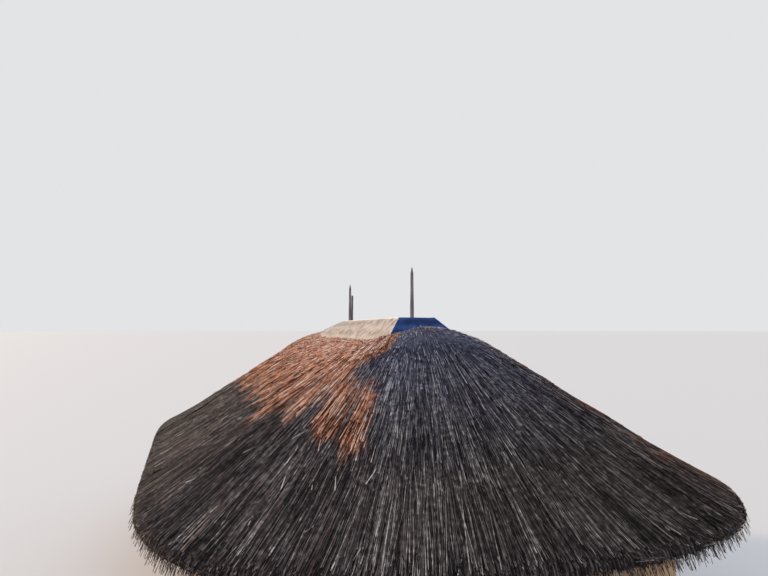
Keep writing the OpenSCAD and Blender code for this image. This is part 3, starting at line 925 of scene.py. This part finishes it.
@dataclass
class Thatch:
    """The grass coat: a packed base for each solid, with layers of loose stems laid on it."""

    form: RoofForm
    slope: StemLay = StemLay()
    stray: StemLay = StemLay(density=8.0, seed=31, shortest=0.35, longest=0.9, width=0.011, spread=0.8,
                             sink=0.0, lift=0.04, paler=0.4, patch=0.2)
    crest: StemLay = StemLay(density=1200.0, seed=43, shortest=0.25, longest=0.6, width=0.01, sink=-0.02,
                             lift=0.025, reach=0.03, paler=0.1)
    # The fringe and the hanging stems are set darker, paler below zero, as painted shade at the eaves
    fringe: StemLay = StemLay(density=1250.0, seed=57, shortest=0.15, longest=0.35, width=0.011,
                              spread=0.3, sink=0.0, lift=0.004, reach=0.03, droop=0.6, follow=0.0,
                              paler=-0.15, patch=0.2)
    hanging: StemLay = StemLay(density=900.0, seed=71, shortest=0.05, longest=0.1, width=0.009, spread=0.4,
                               sink=0.0, lift=0.0, reach=0.18, pitch=1.15, follow=0.0, paler=-0.05,
                               patch=0.4)
    tuft: StemLay = StemLay(density=700.0, seed=83, shortest=0.06, longest=0.12, width=0.012, spread=0.7,
                            sink=0.0, lift=0.0, reach=0.065, pitch=-2.3, follow=0.0, paler=0.1,
                            patch=0.3, over=0.1)
    layers: tuple[tuple[str, str], ...] = (("slope", "slope"), ("stray", "slope"), ("crest", "crest"),
                                           ("fringe", "fringe"), ("hanging", "hem"), ("tuft", "tuft"))
    nodes: tuple[str, ...] = ("near_left_thatch", "near_right_thatch", "far_left_thatch",
                              "far_right_thatch", "left_thatch", "right_thatch")
    finest: float = 0.24
    lump: float = 0.026
    bay_gap: float = 0.0015
    turn_r: float = 2.6
    streak_w: float = 0.3
    side_shift: float = 20.0
    # Painted shade: how much darker the grass is half way down the painted sunlit zone, below it, and low
    # on the other sides; and painted light: how much paler it is at the crest, over the painted sunlit zone
    # and on the other sides
    worn: tuple[float, float, float] = (0.1, 0.14, 0.09)
    dry: tuple[float, float] = (0.07, 0.2)
    # The zone of painted sunlight on the sunlit side: where it starts round the posts, in degrees, at
    # shares of the way from the ridge to the edge, and the share at which it ends, at angles round the
    # posts
    zone_shares: tuple[float, ...] = (0.25, 0.32, 0.36, 0.43, 0.46, 0.50, 0.54, 0.68)
    zone_starts: tuple[float, ...] = (33.0, 37.0, 43.0, 47.0, 43.0, 34.0, 32.0, 30.0)
    zone_angles: tuple[float, ...] = (30.0, 36.0, 43.0, 50.0, 60.0, 90.0)
    zone_ends: tuple[float, ...] = (0.70, 0.69, 0.66, 0.61, 0.61, 0.61)

    def base_mesh(self, node: str) -> Mesh:
        """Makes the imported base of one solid, with its bays joined and its upper side lumpy.

        Args:
            node: Name of the solid.

        Returns:
            The base's mesh.
        """
        bm = copy_solid(node, dissolve=False)
        # Ends of bays face round the plan; those in the middle planes are the solid's own
        inner = []
        for face in bm.faces:
            _, direction, angle = self.form.outward(np.array([face.calc_center_median()]))
            across = abs(face.normal.x * direction[0, 1] - face.normal.y * direction[0, 0])
            if across > 0.98 and math.radians(2) < angle[0] < math.radians(88):
                inner.append(face)
        bmesh.ops.delete(bm, geom=inner, context="FACES")
        bmesh.ops.remove_doubles(bm, verts=bm.verts, dist=self.bay_gap)
        for _ in range(4):
            long = [e for e in bm.edges if e.calc_length() > self.finest]
            if long:
                bmesh.ops.subdivide_edges(bm, edges=long, cuts=1)
                bmesh.ops.triangulate(bm, faces=[f for f in bm.faces if len(f.verts) > 3])
        bm.normal_update()
        for vert in bm.verts:
            if vert.normal.z > 0.25:
                wave = noise.noise(vert.co * 1.4) + 0.5 * noise.noise(vert.co * 4.1)
                vert.co.z += self.lump * max(0.0, wave + 0.3)
        return to_mesh(node + "_coat", [bm])

    def mark(self, mesh: Mesh) -> dict[str, Array]:
        """Stores the zones and directions that the stems and the finishes read.

        Args:
            mesh: A base mesh.

        Returns:
            The share of each face for each layer of stems.
        """
        co = corners(mesh)
        out, direction, angle = self.form.outward(co)
        rim, well = self.form.edges(angle)
        share = out / rim
        around = self.form.along(co, self.turn_r)
        streak = ripple(np.stack([around, 0.25 * out, 0 * out], 1), self.streak_w)
        # Painted sunlight on the sunlit side, starting round the posts with a ragged edge
        start = np.interp(share, self.zone_shares, self.zone_starts) - 4 * streak
        lit = smooth_step(-3.5, 3.5, np.degrees(angle) - start) * (direction[:, 1] < 0)
        # Lower down the painted sunlight ends, and painted shadow lies below it
        end = np.interp(np.degrees(angle), self.zone_angles, self.zone_ends)
        low = smooth_step(-0.035, 0.035, share + 0.06 * streak + 0.03 * ripple(co, 0.5) - end)
        # Painted grazing sunlight, reddish, on the +Y side, strongest near the crest
        painted_grazing_sun = smooth_step(0.46, 0.8, direction[:, 1]) * (0.25 + 0.35 * smooth_step(0.36, 0.26, share))
        half_way, below, hem = self.worn
        # Painted shade darkens the tone, below the lit zone as painted shadow, and painted light makes it
        # paler
        painted_shading = lit * np.maximum(half_way * smooth_step(0.32, 0.55, share), below * low)
        painted_shading += hem * (1 - lit) * smooth_step(0.5, 0.85, share)
        painted_shading -= lit * self.dry[0] * smooth_step(0.46, 0.36, share)
        painted_shading -= (1 - lit) * self.dry[1] * smooth_step(0.33, 0.25, share)
        store(mesh, "up_room", out - well)
        # The lay's third part carries the painted shading
        store(mesh, "lay", np.stack([around + self.side_shift * (co[:, 1].mean() > 0), out, painted_shading], 1))
        # Painted sunlight: the lit zone down to its end, and the painted grazing sun
        store(mesh, "sun", np.maximum(lit * (1 - 0.95 * low), painted_grazing_sun))
        # Painted sky-lit shade: bluish grey on the ends near the crest
        store(mesh, "cool", smooth_step(0.85, 0.25, share) * smooth_step(0.4, 0.9, np.abs(direction[:, 0])))
        edge_top, edge_low = co[share > 0.99, 2].max(), co[:, 2].min()
        store(mesh, "dip", np.clip((edge_top - co[:, 2]) / (edge_top - edge_low), 0.0, 1.0))
        # The faces that each layer of stems grows on
        normals = np.array([p.normal for p in mesh.polygons])
        f_out, f_direction, f_angle = self.form.outward(np.array([p.center for p in mesh.polygons]))
        f_rim, f_well = self.form.edges(f_angle)
        facing = (normals[:, :2] * f_direction).sum(1)
        top = (normals[:, 2] > 0.3) & (f_out > f_well + 0.01)
        rim_face = (normals[:, 2] <= 0.75) & (facing > 0.25) & (f_out > f_rim - 0.32)
        under = (normals[:, 2] < -0.5) & (f_out > f_rim - 0.5)
        return {"slope": top * (1 + 1.2 * smooth_step(-0.55, -0.1, f_out - f_rim)),
                "crest": top * smooth_step(0.85, 0.55, f_out - f_well),
                "fringe": rim_face + 0.35 * (under & ~rim_face),
                "hem": 1.0 * (under & (f_out > f_rim - 0.42)),
                "tuft": 1.0 * (top & (f_out < f_well + 0.1))}

    def build(self) -> None:
        """Makes the base and the layers of stems for each solid of the thatch."""
        tree = stem_tree()
        for number, node in enumerate(self.nodes):
            base = self.base_mesh(node)
            shares = self.mark(base)
            place_piece(base, Finishes.PACKED, "grass_thatch", node, crease_deg=60.0)
            for layer, where in self.layers:
                store(base, "share", shares[where], "FACE")
                lay = getattr(self, layer)
                lay = replace(lay, seed=lay.seed + 100 * number, post_x=self.form.post_x)
                stems = scatter(base, tree, lay, f"{node}_{layer}_stems", ("tone", "sun", "cool"))
                place_piece(stems, Finishes.STEMS, "grass_thatch", crease_deg=None)


# Timbers

@dataclass
class Timbers:
    """Timbers of one node, each with its own waves, worn edges and grain."""

    node: str
    slot: str
    finish: Finishes
    wave: float
    spacing: float
    edge: float = 0.0
    cleft: float = 0.0

    def build(self) -> None:
        """Makes the node's timbers as one piece."""
        parts, grains = [], []
        for number, part in enumerate(islands(copy_solid(self.node))):
            middle, axes = own_frame(np.array([v.co for v in part.verts]))
            if self.edge:
                round_edges(part, [e for e in part.edges if e.calc_face_angle(0.0) > ARRIS_TURN],
                            self.edge)
            slice_mesh(part, Vector(axes[0]), self.spacing)
            for vert in part.verts:
                local = axes @ (np.array(vert.co) - middle)
                # Slow waves along the timber, and clefts that run with its grain
                across = math.hypot(local[1], local[2]) or 1.0
                turn = math.atan2(local[2], local[1])
                place = Vector((local[0] * 2.4, 2.2 * math.cos(turn), 2.2 * math.sin(turn)))
                shift = self.wave * noise.noise(place + Vector((number * 5.3, 0, 0)))
                if self.cleft:
                    fine = Vector((local[0] * 1.5, 7 * math.cos(turn), 7 * math.sin(turn)))
                    shift -= self.cleft * max(0.0, noise.noise(fine) - 0.1)
                vert.co += Vector((axes[1] * local[1] + axes[2] * local[2]) / across) * shift
            local = (np.array([v.co for v in part.verts]) - middle) @ axes.T
            # No two timbers show the same stretch of grain
            grains.append(local + np.array([number * 3.7, number * 1.9, 0.0]))
            parts.append(part)
        mesh = to_mesh(self.node + "_timber", parts)
        store(mesh, "grain", np.concatenate(grains))
        place_piece(mesh, self.finish, self.slot, self.node)


@dataclass
class RingTimbers:
    """Laths or a plate that follow the plan, with the grain running round it."""

    node: str
    slot: str
    finish: Finishes
    form: RoofForm

    def build(self) -> None:
        """Makes the rings as one piece with a grain that follows them."""
        mesh = to_mesh(self.node + "_ring", [copy_solid(self.node)])
        co = corners(mesh)
        out = self.form.outward(co)[0]
        store(mesh, "grain", np.stack([self.form.along(co, out.round(1)), out, co[:, 2]], 1))
        place_piece(mesh, self.finish, self.slot, self.node, crease_deg=25.0)


@dataclass
class BoardFrame:
    """A window frame of four boards, each a piece of timber with worn edges."""

    node: str
    face_w: float = 0.06
    edge: float = 0.004
    joint: float = 0.0015
    wave: float = 0.002
    spacing: float = 0.08

    def build(self) -> None:
        """Makes the two jambs, the head and the sill within the solid's box."""
        low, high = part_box(self.node)
        along = 1 if high.x - low.x < high.y - low.y else 0
        parts, grains = [], []
        for axis, at_low in ((2, True), (2, False), (along, True), (along, False)):
            a, b = low.copy(), high.copy()
            across = along if axis == 2 else 2
            if axis == along:
                a[along] += self.face_w + self.joint
                b[along] -= self.face_w + self.joint
            if at_low:
                b[across] = a[across] + self.face_w
            else:
                a[across] = b[across] - self.face_w
            part = bmesh.new()
            bmesh.ops.create_cube(part, size=1.0)
            for vert in part.verts:
                vert.co = Vector([(p + q) / 2 + v * (q - p) for p, q, v in zip(a, b, vert.co)])
            round_edges(part, part.edges[:], self.edge)
            slice_mesh(part, (ALONG, ACROSS, UP)[axis], self.spacing)
            for vert in part.verts:
                place = vert.co * 5
                vert.co += self.wave * Vector((noise.noise(place), noise.noise(place + UP * 9), 0))
            order = [axis, *[i for i in range(3) if i != axis]]
            grains.append(np.array([v.co for v in part.verts])[:, order] + 2.3 * len(parts))
            parts.append(part)
        mesh = to_mesh(self.node + "_boards", parts)
        store(mesh, "grain", np.concatenate(grains))
        place_piece(mesh, Finishes.HEWN, "frame_timber", self.node)


# Walls and footing

@dataclass
class PlasteredWalls:
    """Wall pieces with one continuous skin of uneven plaster and rounded openings."""

    form: RoofForm
    nodes: tuple[str, ...] = ("near_wall_left", "near_wall_front", "near_wall_right", "far_wall_left",
                              "far_wall_back", "far_wall_right", "left_wall", "right_wall_near",
                              "right_wall_far", "wall_over_door")
    wave: float = 0.011
    arris: float = 0.018
    spacing: float = 0.15

    def openings(self) -> list[tuple[Vector, Vector]]:
        """Gives a box round the edge of each window and of the doorway.

        Returns:
            Low and high corner of each box.
        """
        boxes = []
        for node, axis in (("near_window_frame", 0), ("far_window_frame", 0), ("left_window_frame", 1),
                           ("door_posts", 1)):
            margin = Vector((0.02, 0.02, 0.02))
            margin[axis] += 0.2
            low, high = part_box(node)
            boxes.append((low - margin, high + margin))
        return boxes

    def build(self) -> None:
        """Makes each wall piece."""
        boxes = self.openings()
        for node in self.nodes:
            bm = copy_solid(node)
            round_off = []
            for edge in bm.edges:
                middle = (edge.verts[0].co + edge.verts[1].co) / 2
                inside = any(all(a[i] < middle[i] < b[i] for i in range(3)) for a, b in boxes)
                if inside and edge.calc_face_angle(0.0) > ARRIS_TURN:
                    round_off.append(edge)
            if round_off:
                round_edges(bm, round_off, self.arris, 3)
            for axis in (UP, ALONG, ACROSS):
                slice_mesh(bm, axis, self.spacing)
            mesh = to_mesh(node + "_plaster", [bm])
            co = corners(mesh)
            shift = self.wave * (ripple(co, 0.75) + 0.35 * ripple(co, 0.22, 4.0))
            co[:, :2] += self.form.outward(co)[1] * shift[:, None]
            mesh.vertices.foreach_set("co", co.ravel())
            place_piece(mesh, Finishes.PLASTER, "plaster", node, crease_deg=30.0)


@dataclass(frozen=True)
class StoneLay:
    """How the footing's stones are set; each field is an input of the stone tree."""

    spacing: float = 0.235
    seed: int = 5
    length: float = 0.25
    depth: float = 0.11
    height: float = 0.104
    loose: float = 0.05


def stone_tree() -> Tree:
    """Makes the tree that sets rough stones along loops of edges.

    Returns:
        The tree, with the fields of StoneLay as inputs.
    """
    add, ins = open_tree("footing_stones", StoneLay)
    dice = throw_dice(add, ins["seed"], 2)
    curve = add("GeometryNodeMeshToCurve", {"Mesh": ins["Geometry"]})
    points = add("GeometryNodeCurveToPoints", {"Curve": curve, "Length": ins["spacing"]}, mode="LENGTH")
    tangent = points.node.outputs["Tangent"]
    toned = add(Kind.STORE, points, "tone", add(Kind.ADD, dice[0], -0.5))
    # Five shapes of stone: a block, part of the way to a ball, with a wobbly skin
    shapes = []
    for number in range(5):
        cube = add("GeometryNodeMeshCube", {"Vertices X": 4, "Vertices Y": 3, "Vertices Z": 3})
        here = add(Kind.HERE)
        rounder = add(Kind.BETWEEN, 0.45, here, add(Kind.SCALE, add(Kind.UNIT, here), 0.56))
        apart = add(Kind.SHIFT, here, (number * 7.3, 0.0, 0.0))
        rough = add(Kind.NOISE, apart, 1.9, 2.0, out="Color")
        wobble = add(Kind.SCALE, add(Kind.SHIFT, rough, (-0.5, -0.5, -0.5)), 0.42)
        shapes.append(add("GeometryNodeSetPosition",
                          {"Geometry": cube, "Position": add(Kind.SHIFT, rounder, wobble)}))
    spans = [add(Kind.TIMES, add(Kind.RANGE, die, 0.0, 1.0, least, most), ins[side])
             for die, least, most, side in ((dice[1], 0.8, 1.12, "length"), (dice[2], 0.85, 1.1, "depth"),
                                            (dice[3], 0.84, 1.0, "height"), (dice[4], -0.5, 0.5, "loose"))]
    tilt = add(Kind.JOIN, 0.0, 0.0, add(Kind.RANGE, dice[5], 0.0, 1.0, -0.06, 0.06))
    turned = add(Kind.TURN, add(Kind.SHIFT, tangent, tilt), (0, 0, 1), primary_axis="X",
                 secondary_axis="Z")
    moved = add(Kind.MOVE, toned, add(Kind.SCALE, tangent, spans[3]))
    return close_tree(add, moved, shapes, 8, turned, add(Kind.JOIN, *spans[:3]), Finishes.FIELD_STONE)


@dataclass
class Footing:
    """The footing: a bedding of earth mortar with two courses of field stones on its outer face."""

    form: RoofForm
    lay: StoneLay = StoneLay()
    courses: int = 2
    set_back: float = 0.043
    recess: float = 0.012
    spacing: float = 0.07
    window: float = 0.06

    def build(self) -> None:
        """Makes the bedding and the stones."""
        bm = copy_solid("footing")
        slice_mesh(bm, UP, self.spacing)
        mesh = to_mesh("footing_bedding", [bm])
        co = corners(mesh)
        out, direction, _ = self.form.outward(co)
        co[:, :2] -= direction * (self.recess * (out > self.half_way(co)))[:, None]
        mesh.vertices.foreach_set("co", co.ravel())
        place_piece(mesh, Finishes.BEDDING, "footing_stone", "footing", crease_deg=30.0)
        loops = bmesh.new()
        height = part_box("footing")[1].z / self.courses
        for course in range(self.courses):
            verts = [loops.verts.new((*p, (course + 0.5) * height)) for p in self.outline(course)]
            for a, b in zip(verts, verts[1:] + verts[:1]):
                loops.edges.new((a, b))
        stones = scatter(to_mesh("footing_lines", [loops]), stone_tree(), self.lay, "footing_stones")
        co = corners(stones)
        co[:, 2] = np.clip(co[:, 2], 0.0, None)
        stones.vertices.foreach_set("co", co.ravel())
        place_piece(stones, Finishes.FIELD_STONE, "footing_stone", crease_deg=50.0)

    def half_way(self, co: Array) -> Array:
        """Gives the middle between the footing's two faces at the angle of each point.

        Args:
            co: Points, one in each row.

        Returns:
            How far out that middle is.
        """
        out, _, angle = self.form.outward(corners(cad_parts["footing"].data))
        # The footing's corners are closer round the plan than twice this window
        near = [out[np.abs(angle - a) < self.window] for a in self.form.outward(co)[2]]
        return np.array([(n.max() + n.min()) / 2 for n in near])

    def outline(self, course: int) -> Array:
        """Gives the line that a course of stones is set on.

        Args:
            course: Number of the course from the ground, which turns where the line starts.

        Returns:
            Points in plan, one in each row.
        """
        co = corners(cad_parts["footing"].data)
        outer = co[co[:, 2] < 0.01]
        out, direction, _ = self.form.outward(outer)
        keep = out > self.half_way(outer)
        line = np.unique((outer[keep][:, :2] - direction[keep] * self.set_back).round(4), axis=0)
        order = np.argsort(np.arctan2(line[:, 1], line[:, 0]))
        return np.roll(line[order], course * 3, axis=0)


# Ridge cap

@dataclass(frozen=True)
class NailLay:
    """Size of the roofing nails' heads; each field is an input of the nail tree."""

    seed: int = 2
    radius: float = 0.009
    height: float = 0.004


def nail_tree() -> Tree:
    """Makes the tree that sets a round nail head on each point of a mesh.

    Returns:
        The tree, with the fields of NailLay as inputs.
    """
    add, ins = open_tree("nail_heads", NailLay)
    head = add("GeometryNodeMeshUVSphere", {"Segments": 8, "Rings": 5, "Radius": 1.0})
    upright = add(Kind.TURN, add(Kind.VECTOR, "face"), (1.0, 0.0, 0.0), primary_axis="Z",
                  secondary_axis="X")
    points = add("GeometryNodeMeshToPoints", {"Mesh": ins["Geometry"]})
    size = add(Kind.JOIN, ins["radius"], ins["radius"], ins["height"])
    return close_tree(add, points, [head], ins["seed"], upright, size, Finishes.RUSTY_NAIL)


def loft(rows: Sequence[Sequence[Vector]], thickness: float, face: Vector) -> EditMesh:
    """Makes a thin closed band through rows of points.

    Args:
        rows: Rows of points on its outer side, all with as many points.
        thickness: How far its inner side lies behind.
        face: Unit direction that the band faces.

    Returns:
        The band with its faces outwards.
    """
    bm = bmesh.new()
    top = [[bm.verts.new(p) for p in row] for row in rows]
    low = [[bm.verts.new(p - face * thickness) for p in row] for row in rows]
    n, m = len(rows), len(rows[0])
    for i in range(n - 1):
        for j in range(m - 1):
            bm.faces.new((top[i][j], top[i + 1][j], top[i + 1][j + 1], top[i][j + 1]))
            bm.faces.new((low[i][j], low[i][j + 1], low[i + 1][j + 1], low[i + 1][j]))
    for i in range(n - 1):
        for j in (0, m - 1):
            bm.faces.new((top[i][j], low[i][j], low[i + 1][j], top[i + 1][j]))
    for j in range(m - 1):
        for i in (0, n - 1):
            bm.faces.new((top[i][j], top[i][j + 1], low[i][j + 1], low[i][j]))
    bmesh.ops.recalc_face_normals(bm, faces=bm.faces)
    return bm


@dataclass
class RidgeCap:
    """The folded sheet cap: dented sheets, lap strips, folded hips and roofing nails."""

    dent: float = 0.0025
    spacing: float = 0.07
    lap_w: float = 0.028
    hip_w: float = 0.02
    zinc_w: float = 0.1
    strip_t: float = 0.002
    fold_rise: float = 0.0015
    lift: float = 0.001
    hem_share: float = 0.96
    edge_steps: int = 40
    hip_steps: int = 6
    lap_steps: int = 4
    hip_face: tuple[float, float, float] = (0.35, 0.35, 0.87)
    laps: tuple[float, ...] = (-1.25, -0.1, 1.2)
    # The sunlit sides get the sunlit copy, the shaded sides the painted shade
    sheets: dict[str, Finishes] = field(default_factory=lambda: {
        "cap_top": Finishes.BLEACHED_SHEET, "cap_left": Finishes.BLEACHED_SHEET,
        "cap_right": Finishes.BLUE_SHEET, "cap_near": Finishes.BLUE_SHEET,
        "cap_far": Finishes.BLUE_SHEET})

    def dented(self, point: Vector) -> Vector:
        """Gives how far a sheet is pressed up or down at a place."""
        # Slow waves of about 0.6 by 0.3 m, and quick ones of about 0.15 m
        slow = noise.noise(Vector((point.x * 1.7, point.y * 3.1, 0.0)))
        return UP * self.dent * (slow + 0.5 * noise.noise(Vector((point.x * 6.5, point.y * 7.5, 3.0))))

    def hip(self, end: int) -> list[Vector]:
        """Reads a hip of the left side.

        Args:
            end: 1 for the near end, -1 for the far end.

        Returns:
            The hip's top, its fold and its hem.
        """
        co = corners(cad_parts["cap_near" if end > 0 else "cap_far"].data)
        left = co[co[:, 1] < 0]
        reach = np.abs(left[:, 0])
        levels = (reach.min(), (reach.min() + reach.max()) / 2, reach.max())
        return [Vector(max(left[np.abs(reach - r) < 1e-3].tolist(), key=lambda p: p[2])) for r in levels]

    def build(self) -> None:
        """Makes the sheets, the strips and the nails."""
        for node, finish in self.sheets.items():
            bm = copy_solid(node)
            for axis in (ALONG, ACROSS):
                slice_mesh(bm, axis, self.spacing)
            for vert in bm.verts:
                vert.co += self.dented(vert.co)
            place_piece(to_mesh(node + "_sheet", [bm]), finish, "cap_sheet", node, crease_deg=25.0)
        self.strips()

    def strips(self) -> None:
        """Makes the folded hips, the top edge and the lap strips, and sets nails along them.

        A hip has a nail at every fourth row of its strip, and a lap at every third.
        """
        near, far = self.hip(1), self.hip(-1)
        nails: list[tuple[Vector, Vector]] = []
        # The left side is sunlit, with a painted highlight on its folded edges; the right side's edges and
        # laps get the painted shade's navy blue
        for side, name, finish, sheet in (
                (-1, "cap_left", Finishes.WORN_EDGE, Finishes.BLEACHED_SHEET),
                (1, "cap_right", Finishes.BLUE_SHEET, Finishes.BLUE_SHEET)):
            near_way, far_way = ([Vector((p.x, -side * p.y, p.z)) for p in way] for way in (near, far))
            edge = [self.edge_row(far_way, near_way, i / self.edge_steps)
                    for i in range(self.edge_steps + 1)]
            folds, zinc, laps = [loft(edge, self.strip_t, UP)], [], []
            for end, way, bands, width in ((1, near_way, folds, self.hip_w),
                                           (-1, far_way, zinc, self.zinc_w)):
                face = (Vector((end, side, 1)) * Vector(self.hip_face)).normalized()
                rows = self.hip_rows(way, end, side, width)
                bands.append(loft(rows, self.strip_t, face))
                nails += [((row[0] + row[1]) / 2 + face * self.lift, face) for row in rows[2:-1:4]]
            for x in self.laps:
                rows, face = self.lap_rows(far_way, near_way, x)
                laps.append(loft(rows, self.strip_t, face))
                nails += [((row[0] + row[-1]) / 2 + face * self.lift, face) for row in rows[1:-1:3]]
            for part, bands, look in (("folded_edges", folds, finish),
                                      ("far_hip", zinc, Finishes.ZINC_STRIP), ("laps", laps, sheet)):
                place_piece(to_mesh(f"{name}_{part}", bands), look, "cap_sheet", crease_deg=30.0)
        spots = bpy.data.meshes.new("nail_spots")
        spots.from_pydata([tuple(p) for p, _ in nails], [], [])
        store(spots, "face", np.array([tuple(f) for _, f in nails]))
        heads = scatter(spots, nail_tree(), NailLay(), "cap_nail_heads", ())
        place_piece(heads, Finishes.RUSTY_NAIL, "cap_sheet", crease_deg=60.0)

    def down(self, way: Sequence[Vector], steps: int) -> list[Vector]:
        """Divides the way from the top edge to the hem into even steps on each slope."""
        points = [a.lerp(b, i / steps) for a, b in zip(way, way[1:]) for i in range(steps)]
        return points + [way[-2].lerp(way[-1], self.hem_share)]

    def hip_rows(self, way: Sequence[Vector], end: int, side: int, width: float
                 ) -> list[list[Vector]]:
        """Gives the rows of a folded strip over one hip.

        Args:
            way: Top, fold and hem of the hip.
            end: 1 for the near end, -1 for the far end.
            side: 1 for the right side, -1 for the left side.
            width: Width of the strip on each sheet.

        Returns:
            Rows of three points: on the side's sheet, on the hip, and on the end's sheet.
        """
        rows = []
        for spot in self.down(way, self.hip_steps):
            on_hip = spot + UP * self.strip_t + self.dented(spot)
            rows.append([on_hip - ALONG * end * width, on_hip + Vector((end, side, 0.6)) * self.fold_rise,
                         on_hip - ACROSS * side * width])
        return rows

    def across(self, far: Sequence[Vector], near: Sequence[Vector], x: float) -> list[Vector]:
        """Gives the top, the fold and the hem of a long side at a place along the ridge."""
        return [Vector((x, f.y + (n.y - f.y) * (x - f.x) / (n.x - f.x), f.z)) for f, n in zip(far, near)]

    def edge_row(self, far: Sequence[Vector], near: Sequence[Vector], share: float) -> list[Vector]:
        """Gives one row of the folded strip along the top edge of a long side.

        Args:
            far: Top, fold and hem of the far hip.
            near: The same of the near hip.
            share: How far the row is from the far hip to the near one, from 0 to 1.

        Returns:
            Points down the slope, on the edge and on the cap's top.
        """
        # The fold is a little narrower here than on the hips
        top, fold, _ = self.across(far, near, far[0].x + (near[0].x - far[0].x) * share)
        on_edge = top + UP * self.strip_t + self.dented(top)
        return [on_edge + (fold - top).normalized() * self.hip_w * 0.8, on_edge + UP * self.lift,
                on_edge - ACROSS * math.copysign(self.hip_w * 0.6, top.y)]

    def lap_rows(self, far: Sequence[Vector], near: Sequence[Vector], x: float
                 ) -> tuple[list[list[Vector]], Vector]:
        """Gives the rows of a lap strip down one long side.

        Args:
            far: Top, fold and hem of the far hip.
            near: The same of the near hip.
            x: Place of the strip along the ridge.

        Returns:
            Rows of three points, and the way that the strip faces.
        """
        rows = []
        for spot in self.down(self.across(far, near, x), self.lap_steps):
            on_sheet = spot + self.dented(spot)
            rows.append([on_sheet + ALONG * d * self.lap_w / 2 for d in (-1, 0, 1)])
        face = (rows[-1][0] - rows[0][0]).normalized().cross(ALONG)
        face = (face if face.z > 0 else -face).normalized()
        return [[p + face * self.strip_t for p in row] for row in rows], face


# Stage

@dataclass(frozen=True)
class Viewpoint:
    """Where the photograph was taken from, fitted to the outline of the roof and its two posts."""

    eye: tuple[float, float, float] = (10.927, -3.496, 4.556)
    heading: tuple[float, float] = (-0.948, 0.318)
    pitch_deg: float = 4.1
    lens_mm: float = 26.95

    def build(self) -> None:
        """Makes the camera and lets the scene use it."""
        data = bpy.data.cameras.new("view_camera")
        data.lens, data.sensor_width, data.clip_end = self.lens_mm, 36.0, 4000.0
        camera = new_object("view_camera", data)
        camera.location = self.eye
        aim = Vector((*self.heading, 0.0)).normalized() + UP * math.tan(math.radians(self.pitch_deg))
        camera.rotation_euler = aim.to_track_quat("-Z", "Y").to_euler()
        bpy.context.scene.camera = camera


@dataclass(frozen=True)
class Lamp:
    """A distant lamp: its place seen from the hut, in degrees from the ridge and over the horizon."""

    name: str
    colour: str
    strength: float
    azimuth_deg: float
    height_deg: float
    angle_deg: float

    def build(self) -> None:
        """Makes the lamp."""
        lamp = bpy.data.lights.new(self.name, "SUN")
        lamp.color, lamp.energy = to_linear(self.colour)[:3], self.strength
        lamp.angle = math.radians(self.angle_deg)
        a, h = math.radians(self.azimuth_deg), math.radians(self.height_deg)
        towards = Vector((math.cos(a) * math.cos(h), math.sin(a) * math.cos(h), math.sin(h)))
        new_object(self.name, lamp).rotation_euler = towards.to_track_quat("Z", "Y").to_euler()


@dataclass(frozen=True)
class Studio:
    """Plain pale floor and sky, a low warm key light from behind the sunlit side, and a cool fill."""

    floor: str = "#dad8d4"
    floor_radius: float = 1500.0
    floor_gap: float = 0.001
    sky_seen: str = "#e3e4e6"
    sky_light: str = "#dde4f2"
    lamps: tuple[Lamp, ...] = (Lamp("key_light", "#ffdfbc", 3.0, -140.0, 14.0, 6.0),
                               Lamp("fill_light", "#e9edf5", 0.2, 20.0, 50.0, 40.0))

    def build(self) -> None:
        """Makes the floor, the sky and the lamps."""
        for lamp in self.lamps:
            lamp.build()
        world = bpy.data.worlds.new("plain_sky")
        world.use_nodes = True
        world.node_tree.nodes.clear()
        add = partial(add_node, world.node_tree)
        light, seen = (add("ShaderNodeBackground", {"Color": colour, "Strength": 1.0})
                       for colour in (self.sky_light, self.sky_seen))
        # Metal and glass show the sky that the camera sees
        shown = add("ShaderNodeLightPath", out="Is Camera Ray")
        rays = shown.node.outputs
        for ray in ("Is Glossy Ray", "Is Transmission Ray"):
            shown = add(Kind.MOST, shown, rays[ray])
        add("ShaderNodeOutputWorld", {"Surface": add("ShaderNodeMixShader", shown, light, seen)})
        bpy.context.scene.world = world
        bm = bmesh.new()
        bmesh.ops.create_circle(bm, cap_ends=True, segments=64, radius=self.floor_radius)
        mesh = to_mesh("pale_floor", [bm])
        material = bpy.data.materials.new("pale_matt_floor")
        material.use_nodes = True
        shader = material.node_tree.nodes["Principled BSDF"].inputs
        shader["Base Color"].default_value = to_linear(self.floor)
        shader["Roughness"].default_value = 0.95
        mesh.materials.append(material)
        floor = new_object("pale_floor", mesh)
        floor.location.z = -self.floor_gap
        bpy.context.scene.view_settings.view_transform = "Standard"


def main() -> None:
    """Builds the hut's looks in order and reports each piece."""
    logging.basicConfig(level=logging.INFO, format="%(name)s: %(message)s")
    Viewpoint().build()
    Studio().build()
    form = RoofForm.from_solids()
    Thatch(form).build()
    RidgeCap().build()
    for node in ("near_centre_post", "far_centre_post", "far_stake"):
        Timbers(node, "weathered_pole", Finishes.WEATHERED, 0.003, 0.05, cleft=0.003).build()
    for node in ("ridge_beam", "crowns", "near_rafters", "far_rafters", "left_rafters", "right_rafters"):
        Timbers(node, "pole_timber", Finishes.PEELED, 0.004, 0.6).build()
    for node in ("door_posts", "door_lintel", "door_threshold", "tie_beams"):
        Timbers(node, "frame_timber", Finishes.HEWN, 0.003, 0.1, edge=0.006).build()
    for node in ("near_window_frame", "far_window_frame", "left_window_frame"):
        BoardFrame(node).build()
    RingTimbers("wall_plate", "frame_timber", Finishes.HEWN, form).build()
    for node in ("end_laths", "side_laths"):
        RingTimbers(node, "lath_wood", Finishes.LATHS, form).build()
    PlasteredWalls(form).build()
    Footing(form).build()
    # The floor's shape is right, so it keeps its mesh
    dress(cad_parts["floor_slab"].data, Finishes.SCREED)
    log.info("floor_slab: kept, with a new finish")


if __name__ == "__main__":
    main()
